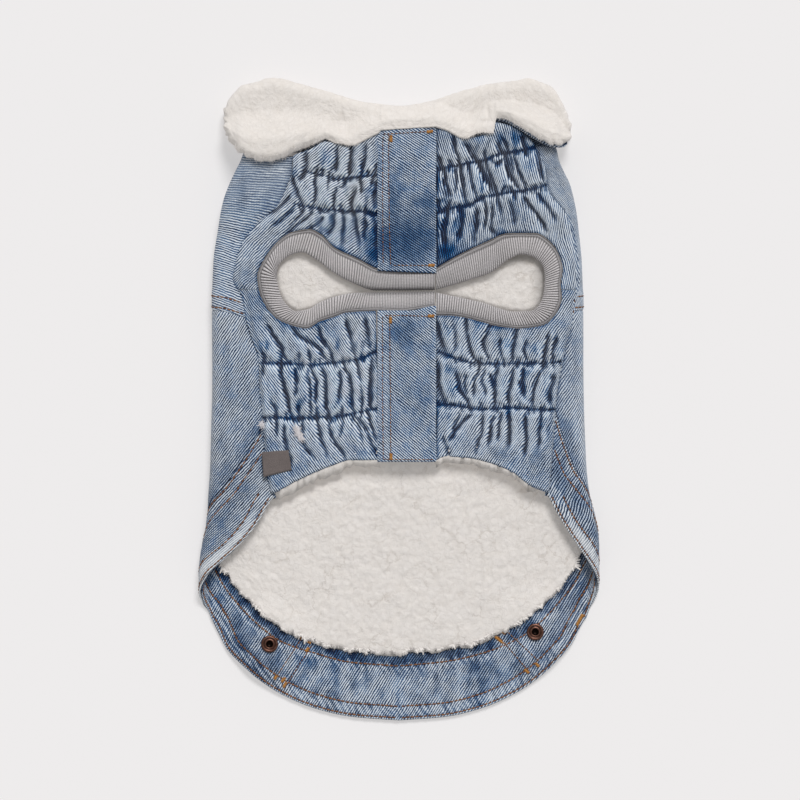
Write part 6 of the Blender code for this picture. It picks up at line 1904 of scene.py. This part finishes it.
# ---------------------------------------------------------------- the collar
collar = {n: column(COLLAR, "x", n) for n in ("low_y", "roll_y", "low_z", "roll_z")}
TONGUE = table(  # how far down the pile hangs over the right front
    "x y",
    (24, 170.0), (28, 162.8), (32, 159.6), (36, 157.4), (42.6, 158.2), (48.2, 159.4), (56.8, 159.8), (58.6, 170.0),
)
NECK_EDGE = table(  # where the denim's neck edges run, under which the collar goes
    "x y",
    (-66, 144.0), (-53.2, 149.7), (-43.6, 154.5), (-38.2, 153.8), (-30.4, 151.5), (-22.0, 155.4), (-11.5, 160.8),
    (-10.5, 162.3), (22.0, 164.3), (29.0, 162.0), (36.0, 158.0), (42.0, 157.0), (52.8, 159.6), (57.4, 160.4), (58.8, 166.0), (66.0, 164.6),
)


def collar_grid(xs, parts, depth, pile_depth):
    """Points of the collar's section at each x: over the top leaf, round the roll and
    back under the neck. parts are the numbers of steps; depth may vary over the grid."""
    low_y, roll_y, low_z = (collar[n](xs)[:, None] for n in ("low_y", "roll_y", "low_z"))
    r = COLLAR_ROLL + pile_depth + DENIM + GAP
    r = np.minimum(r, 0.45 * (roll_y - low_y) + 2.5)
    hi = low_z + pile_depth
    cy = roll_y - r
    t1 = np.linspace(0, 1, parts[0], endpoint=False)[None, :]
    t2 = np.linspace(0, 1, parts[1], endpoint=False)[None, :]
    t3 = np.linspace(0, 1, parts[2])[None, :]
    back = cy - (COLLAR_LEAF - r) * np.minimum(1.0, (roll_y - low_y) / 26.0)
    back = back + (np.maximum(back, low_y) - back) * ease((np.abs(xs)[:, None] - 78.0) / 16.0)
    n1, n2 = parts[0], parts[0] + parts[1]
    d1, d2, d3 = depth[:, :n1], depth[:, n1:n2], depth[:, n2:]
    y = np.concatenate([low_y + (cy - low_y) * t1 + 0 * d1, cy + (r - d2) * np.sin(math.pi * t2), cy + (back - cy) * t3 + 0 * d3], axis=1)
    z = np.concatenate([hi + (2 * r - hi) * ease((t1 - 0.22) / 0.52) - d1, r + (r - d2) * np.cos(math.pi * t2), d3 + 0 * t3], axis=1)
    return y, z


def front_part_of(parts, total):
    return (np.arange(total) < parts[0] + 8)[None, :].astype(float)


cx = np.linspace(COLLAR["x"][0], COLLAR["x"][-1], 300)
parts = (74, 18, 16)
total = sum(parts)
flat_depth = np.zeros((len(cx), total))
gy, gz = collar_grid(cx, parts, flat_depth, COLLAR_PILE)
q = np.concatenate([np.zeros((len(cx), 1)), np.cumsum(np.hypot(np.diff(gy, axis=1), np.diff(gz, axis=1)), axis=1)], axis=1)
on_back = np.zeros(total)
on_back[parts[0] + parts[1]:] = 1.0
from_low = q
from_high = q[:, -1:] - q
end = np.minimum(cx - cx[0], cx[-1] - cx)[:, None]
edge = np.minimum(np.minimum(from_low, end + 0.4), from_high + 2.0)
crown = np.sqrt(np.clip(1 - (1 - np.clip(edge / 4.2, 0, 1)) ** 2, 0, 1))
body, heap, curl = pile(cx[:, None] * 1.0 + 0 * q, q, 201, 7.4, 2.6)
depth = 2.1 * (1 - crown) - (0.5 + 1.2 * body) * crown + 0.9
depth = np.where(on_back[None, :] > 0, np.maximum(1.6 * (1 - crown), 0.0), depth)
sink = ease((np.arange(total) - parts[0] - 9) / 9.0)[None, :]
depth = depth * (1 - sink) + np.maximum(depth, 0.0) * sink
gy, gz = collar_grid(cx, parts, depth, COLLAR_PILE)
# a tongue of pile hangs over the right front's neck edge
hang = np.clip(gy[:, :1] - np.interp(cx, TONGUE["x"], TONGUE["y"])[:, None], 0, None)
gy = gy - hang * np.exp(-((from_low / 5.0) ** 2)) * front_part_of(parts, total)
# the sherpa swells up past the denim's neck edge, which it fills
edge_y = np.interp(cx, NECK_EDGE["x"], NECK_EDGE["y"])[:, None]
inside = ease((cx[:, None] + 58.0) / 12.0) * ease((60.0 - cx[:, None]) / 3.0)
past = gy - edge_y
front_part = (np.arange(total) < parts[0] + 8)[None, :]
swell = inside * ease((past + 2.6) / 1.6) * ease((16.0 - past) / 13.0) * front_part
level = 22.4 + 1.3 * body + 0.6 * cloud(cx[:, None] + 0 * q, q, 12.0, 205, 2)
gz = gz + np.maximum(level - gz, 0) * swell
# scalloped heaps along the wings' ends and edges
wing = ease((np.abs(cx)[:, None] - 74.0) / 16.0)
heart_x = np.where(cx < 0, -88.0, 86.0)[:, None]
heart_y = np.where(cx < 0, 164.0, 170.0)[:, None]
ox, oy = cx[:, None] - heart_x, gy - heart_y
away = np.hypot(ox, oy) + 1e-6
turn = np.arctan2(oy, ox)
scallop = np.abs(np.sin(8.0 * turn + 0.9 * cloud(turn * 6, 0 * turn, 2.0, 207, 1)))
rim = np.minimum(np.minimum(from_low, end + 0.3), np.abs(parts[0] + 8 - np.arange(total))[None, :] * 0.5 + 1.0)
push = wing * (1.9 * scallop - 1.1) * np.exp(-((np.minimum(from_low, end * 1.2) / 2.4) ** 2))
gx = cx[:, None] + ox / away * push
gy = gy + oy / away * push
bead = lumps(cx, 0 * cx, 6.4, 209)[0][:, None]
low_edge = np.exp(-((from_low / 2.6) ** 2))
gy = gy - low_edge * (0.9 * bead - 0.3) * (1 - wing)
# on the left the leaf's edge rests on the front
rest = ease((-34.0 - cx) / 6.0)[:, None] * np.exp(-((from_low / 1.6) ** 2)) * front_part_of(parts, total)
gz = gz - 2.2 * rest
gy = gy - 0.9 * rest
crease = 0.0
for x, y, half_x, half_y, deep in ((53.5, 171.0, 1.3, 5.0, 1.6), (51.0, 166.5, 4.5, 1.1, 1.2), (33.0, 166.0, 1.2, 3.0, 0.9), (-38.0, 167.0, 7.0, 1.3, 1.0), (-34.0, 170.0, 1.2, 3.4, 0.8)):
    crease = crease + deep * np.exp(-(((gx - x) / half_x) ** 2) - (((gy - y) / half_y) ** 2)) * front_part
gz = gz - crease
collar_skin = np.stack([gx + 0 * gy, gy, np.maximum(gz, 0.0)], axis=-1)
iy, iz = collar_grid(cx, parts, np.full((len(cx), total), COLLAR_PILE - 0.1), COLLAR_PILE)
collar_back = np.stack([cx[:, None] + 0 * iy, iy, iz], axis=-1)
colour = pile_colour(body, heap, curl) * (0.97 + 0.03 * crown)[..., None]
# painted shade in the collar's creases
colour = colour * (1 - 0.05 * np.clip(crease, 0, 1))[..., None] * np.array([1.0, 0.995, 0.985])
obj = shell("collar_pile", collar_skin, collar_back, (5, 6), colour, np.stack([cx[:, None] + 0 * q, q], axis=-1), "sherpa_collar")
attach(obj, "root")
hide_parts("collar")
lay(obj, collar_back)

ux = np.linspace(COLLAR["x"][1] + 0.5, COLLAR["x"][-2] + 2.6, 150)
uparts = (30, 10, 14)
ugy, ugz = collar_grid(ux, uparts, np.full((len(ux), sum(uparts)), COLLAR_PILE + GAP), COLLAR_PILE)
ugy2, ugz2 = collar_grid(ux, uparts, np.full((len(ux), sum(uparts)), COLLAR_PILE + GAP + 0.9), COLLAR_PILE)
peek = ease((ux - 50.0) / 6.0)[:, None] * np.exp(-np.arange(sum(uparts)) / 3.0)[None, :] * 1.9
drop = ease((ux - 50.0) / 6.0)[:, None] * np.exp(-np.arange(sum(uparts)) / 3.0)[None, :] * 0.4
U = ux[:, None] + 0 * ugy
outer = np.stack([U, ugy - peek, np.maximum(ugz - drop, 0.3)], axis=-1)
inner = np.stack([U, ugy2 - peek * 0.95, np.maximum(ugz2 - drop, 0.3)], axis=-1)
wash = 0.36 + 0.05 * cloud(U, ugy, 12.0, 211, 3) + 0.2 * np.exp(-np.arange(sum(uparts)) / 0.8)[None, :]
obj = shell("under_collar_cloth", outer, inner, (3, 3), denim_colour(wash, 0.15), weave_uv(U, ugy, 30), "denim_light")
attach(obj, "root")
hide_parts("under_collar")
lay(obj, outer)

# Fuzz along the neckline, over the denim, a little paler than the pile: painted light.
rng = np.random.default_rng(23)
n = 2200
i, j = rng.integers(8, len(cx) - 8, n), rng.integers(0, 6, n)
base = collar_skin[i, j] + rng.normal(0, 0.2, (n, 3))
aim = np.stack([0 * i, -1.0 + 0 * i, 0.15 + 0 * i], axis=1) + rng.normal(0, 0.4, (n, 3))
hairs(pile_fibres, base, aim, 1.3 * rng.uniform(0.4, 1.3, n), 0.085, 1.08 * PILE, 29)

# ---------------------------------------------------------------- tacks, tag and lint
def turned(name, profile, centre, steps, shades):
    """A round metal piece from (radius, height) rows, both ends on its axis."""
    prof = np.array(profile, float)
    turn = 2 * math.pi * np.arange(steps) / steps
    ring = np.stack([centre[0] + prof[1:-1, 0:1] * np.cos(turn), centre[1] + prof[1:-1, 0:1] * np.sin(turn), prof[1:-1, 1:2] + 0 * turn], axis=-1)
    verts = np.vstack([[[centre[0], centre[1], prof[0, 1]], [centre[0], centre[1], prof[-1, 1]]], ring.reshape(-1, 3)])
    k = len(prof) - 2
    idx = 2 + np.arange(k * steps).reshape(k, steps)
    nxt = np.roll(idx, -1, axis=1)
    faces = np.stack([idx[:-1], nxt[:-1], nxt[1:], idx[1:]], axis=-1).reshape(-1, 4).tolist()
    faces += [[0, int(nxt[0, j]), int(idx[0, j])] for j in range(steps)]
    faces += [[1, int(idx[-1, j]), int(nxt[-1, j])] for j in range(steps)]
    shade = np.concatenate([[shades[0], shades[-1]], np.repeat(shades[1:-1], steps)])
    colour = linear((112, 82, 72)) * shade[:, None]
    uv = np.zeros((len(verts), 2))
    return make_mesh(name, verts, faces, colour, uv, "copper")


band_top = BUTTON_LIFT + FACING_DEPTH + 1.0
back = band_top + GAP
TACK = (  # radius, height, shade: from the head's face, up the post, to the back's hollow
    (0, 0.05, 0.8), (3.6, 0.0, 0.9), (5.6, 0.12, 0.9), (6.9, 0.55, 1.0), (7.5, 1.2, 1.1), (7.35, 1.9, 1.0), (6.6, 2.5, 0.8), (5.6, 2.7, 0.6),
    (1.5, 2.7, 0.5), (1.5, back - 0.1, 0.5), (4.7, back - 0.05, 0.5), (5.05, back + 0.15, 0.8), (5.15, back + 0.5, 1.0), (4.95, back + 0.95, 1.15),
    (4.5, back + 1.3, 1.25), (4.0, back + 1.35, 1.1), (3.55, back + 1.1, 0.6), (3.3, back + 0.85, 0.42), (3.0, back + 1.05, 0.9), (2.6, back + 1.25, 1.15),
    (2.2, back + 1.15, 0.8), (1.95, back + 0.75, 0.2), (1.8, back + 0.1, 0.06), (0, back, 0.04),
)
for name, k in (("left", 0), ("right", 1)):
    x, y = BUTTONS["x"][k], BUTTONS["y"][k]
    piece = turned("tack_" + name, [(r, z) for r, z, _ in TACK], (x, y), 72, [s for _, _, s in TACK])
    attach(piece, "root")
    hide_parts("tack_button_" + name)

n, m = 44, 32
corner = [np.array([LABEL["x"][k], LABEL["y"][k]]) for k in range(4)]
a, b = np.linspace(0, 1, n)[:, None], np.linspace(0, 1, m)[None, :]
px = (1 - a) * ((1 - b) * corner[0][0] + b * corner[3][0]) + a * ((1 - b) * corner[1][0] + b * corner[2][0])
py = (1 - a) * ((1 - b) * corner[0][1] + b * corner[3][1]) + a * ((1 - b) * corner[1][1] + b * corner[2][1])
rim = np.minimum(np.minimum(a, 1 - a) * 16.5, np.minimum(b, 1 - b) * 12.0)
bulge = 0.25 * np.sin(math.pi * a) * np.sin(math.pi * b) + 0.25 * cloud(px, py, 12.0, 221, 2)
pz = top(py) + FRONT_CREST + GAP + 0.75 + bulge - 0.35 * (1 - np.clip(rim / 0.7, 0, 1)) + 0.10 * np.exp(-(((rim - 1.0) / 0.35) ** 2))
outer = np.stack([px, py, pz], axis=-1)
inner = np.stack([px, py, pz - 0.55], axis=-1)
base = linear((112, 103, 101)) * (1 + 0.06 * cloud(px, py, 5.0, 223, 2))[..., None]
base = base * (1 - 0.18 * np.exp(-((rim / 0.5) ** 2)))[..., None]
tag = shell("tag_cloth", outer, inner, (1, 1), base, np.stack([px, py], axis=-1), "tag_weave")
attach(tag, "root")
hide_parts("woven_label")
lay(tag, outer)

# Wisps of lint that cling to the left front.
rng = np.random.default_rng(37)
for path, n, size in ((((-61.4, -17.0), (-60.0, -20.5), (-57.6, -24.2)), 260, 1.6), (((-82.4, -14.0), (-81.4, -16.2)), 70, 1.2)):
    p = smooth_path(path, 0.6)
    pick = rng.integers(0, len(p), n)
    xy = p[pick] + rng.normal(0, 0.7, (n, 2))
    z = front_surface(xy[:, 0], xy[:, 1]) + rng.uniform(0.3, 1.5, n)
    aim = rng.normal(0, 1, (n, 3)) * [1, 1, 0.5]
    hairs(pile_fibres, np.column_stack([xy, z]), aim, size * rng.uniform(0.5, 1.6, n), 0.20, linear((240, 236, 238)), 41 + n)

tan = tan_thread.finish("topstitching", "thread_tan", "denim")
gold = gold_thread.finish("bar_tacks", "thread_gold", "denim")
navy = navy_thread.finish("elastic_stitching", "thread_navy", "denim")
fuzz = pile_fibres.finish("pile_fuzz", "sherpa_fuzz", "sherpa")
fray = dark_fibres.finish("frayed_ends", "denim_fray", "denim_facing")

for obj, skin in ((front_left, front_left_skin), (front_right, front_right_skin)):
    lay(obj, skin)

# ---------------------------------------------------------------- floor, light, camera
floor_mesh = bpy.data.meshes.new("floor")
floor_mesh.from_pydata([(-3, -3, -0.0003), (3, -3, -0.0003), (3, 3, -0.0003), (-3, 3, -0.0003)], [], [(0, 1, 2, 3)])
floor = bpy.data.objects.new("floor", floor_mesh)
bpy.context.collection.objects.link(floor)
m = bpy.data.materials.new("paper")
m.use_nodes = True
white = linear((238, 236, 236))
m.node_tree.nodes["Principled BSDF"].inputs["Base Color"].default_value = (*(0.5 * white), 1)
m.node_tree.nodes["Principled BSDF"].inputs["Emission Color"].default_value = (*(0.5 * white), 1)
m.node_tree.nodes["Principled BSDF"].inputs["Emission Strength"].default_value = 1.0
m.node_tree.nodes["Principled BSDF"].inputs["Roughness"].default_value = 1.0
m.node_tree.nodes["Principled BSDF"].inputs["Specular IOR Level"].default_value = 0.0
floor_mesh.materials.append(m)

world = bpy.data.worlds.new("studio")
bpy.context.scene.world = world
world.use_nodes = True
world.node_tree.nodes["Background"].inputs["Color"].default_value = (1.0, 1.0, 1.0, 1)
world.node_tree.nodes["Background"].inputs["Strength"].default_value = 0.42


def sun(name, direction, strength, angle):
    data = bpy.data.lights.new(name, "SUN")
    data.energy, data.angle = strength, math.radians(angle)
    obj = bpy.data.objects.new(name, data)
    bpy.context.collection.objects.link(obj)
    d = np.array(direction, float)
    d /= np.linalg.norm(d)
    from mathutils import Vector
    obj.rotation_euler = Vector(-d).to_track_quat("-Z", "Y").to_euler()
    return d[2]


c = sun("key", (0.22, 0.90, 1.05), 2.42, 20)

view = bpy.context.scene.view_settings
view.view_transform = "Standard"
view.look = "None"
view.exposure = 0.0

camera_data = bpy.data.cameras.new("camera")
camera_data.sensor_width = 36.0
camera_data.lens = 225.0
camera = bpy.data.objects.new("camera", camera_data)
bpy.context.collection.objects.link(camera)
camera.location = (0.00078, -0.0003, 3.0 + 0.012)
camera.rotation_euler = (0, 0, 0)
camera_data.clip_start, camera_data.clip_end = 0.1, 20.0
bpy.context.scene.camera = camera
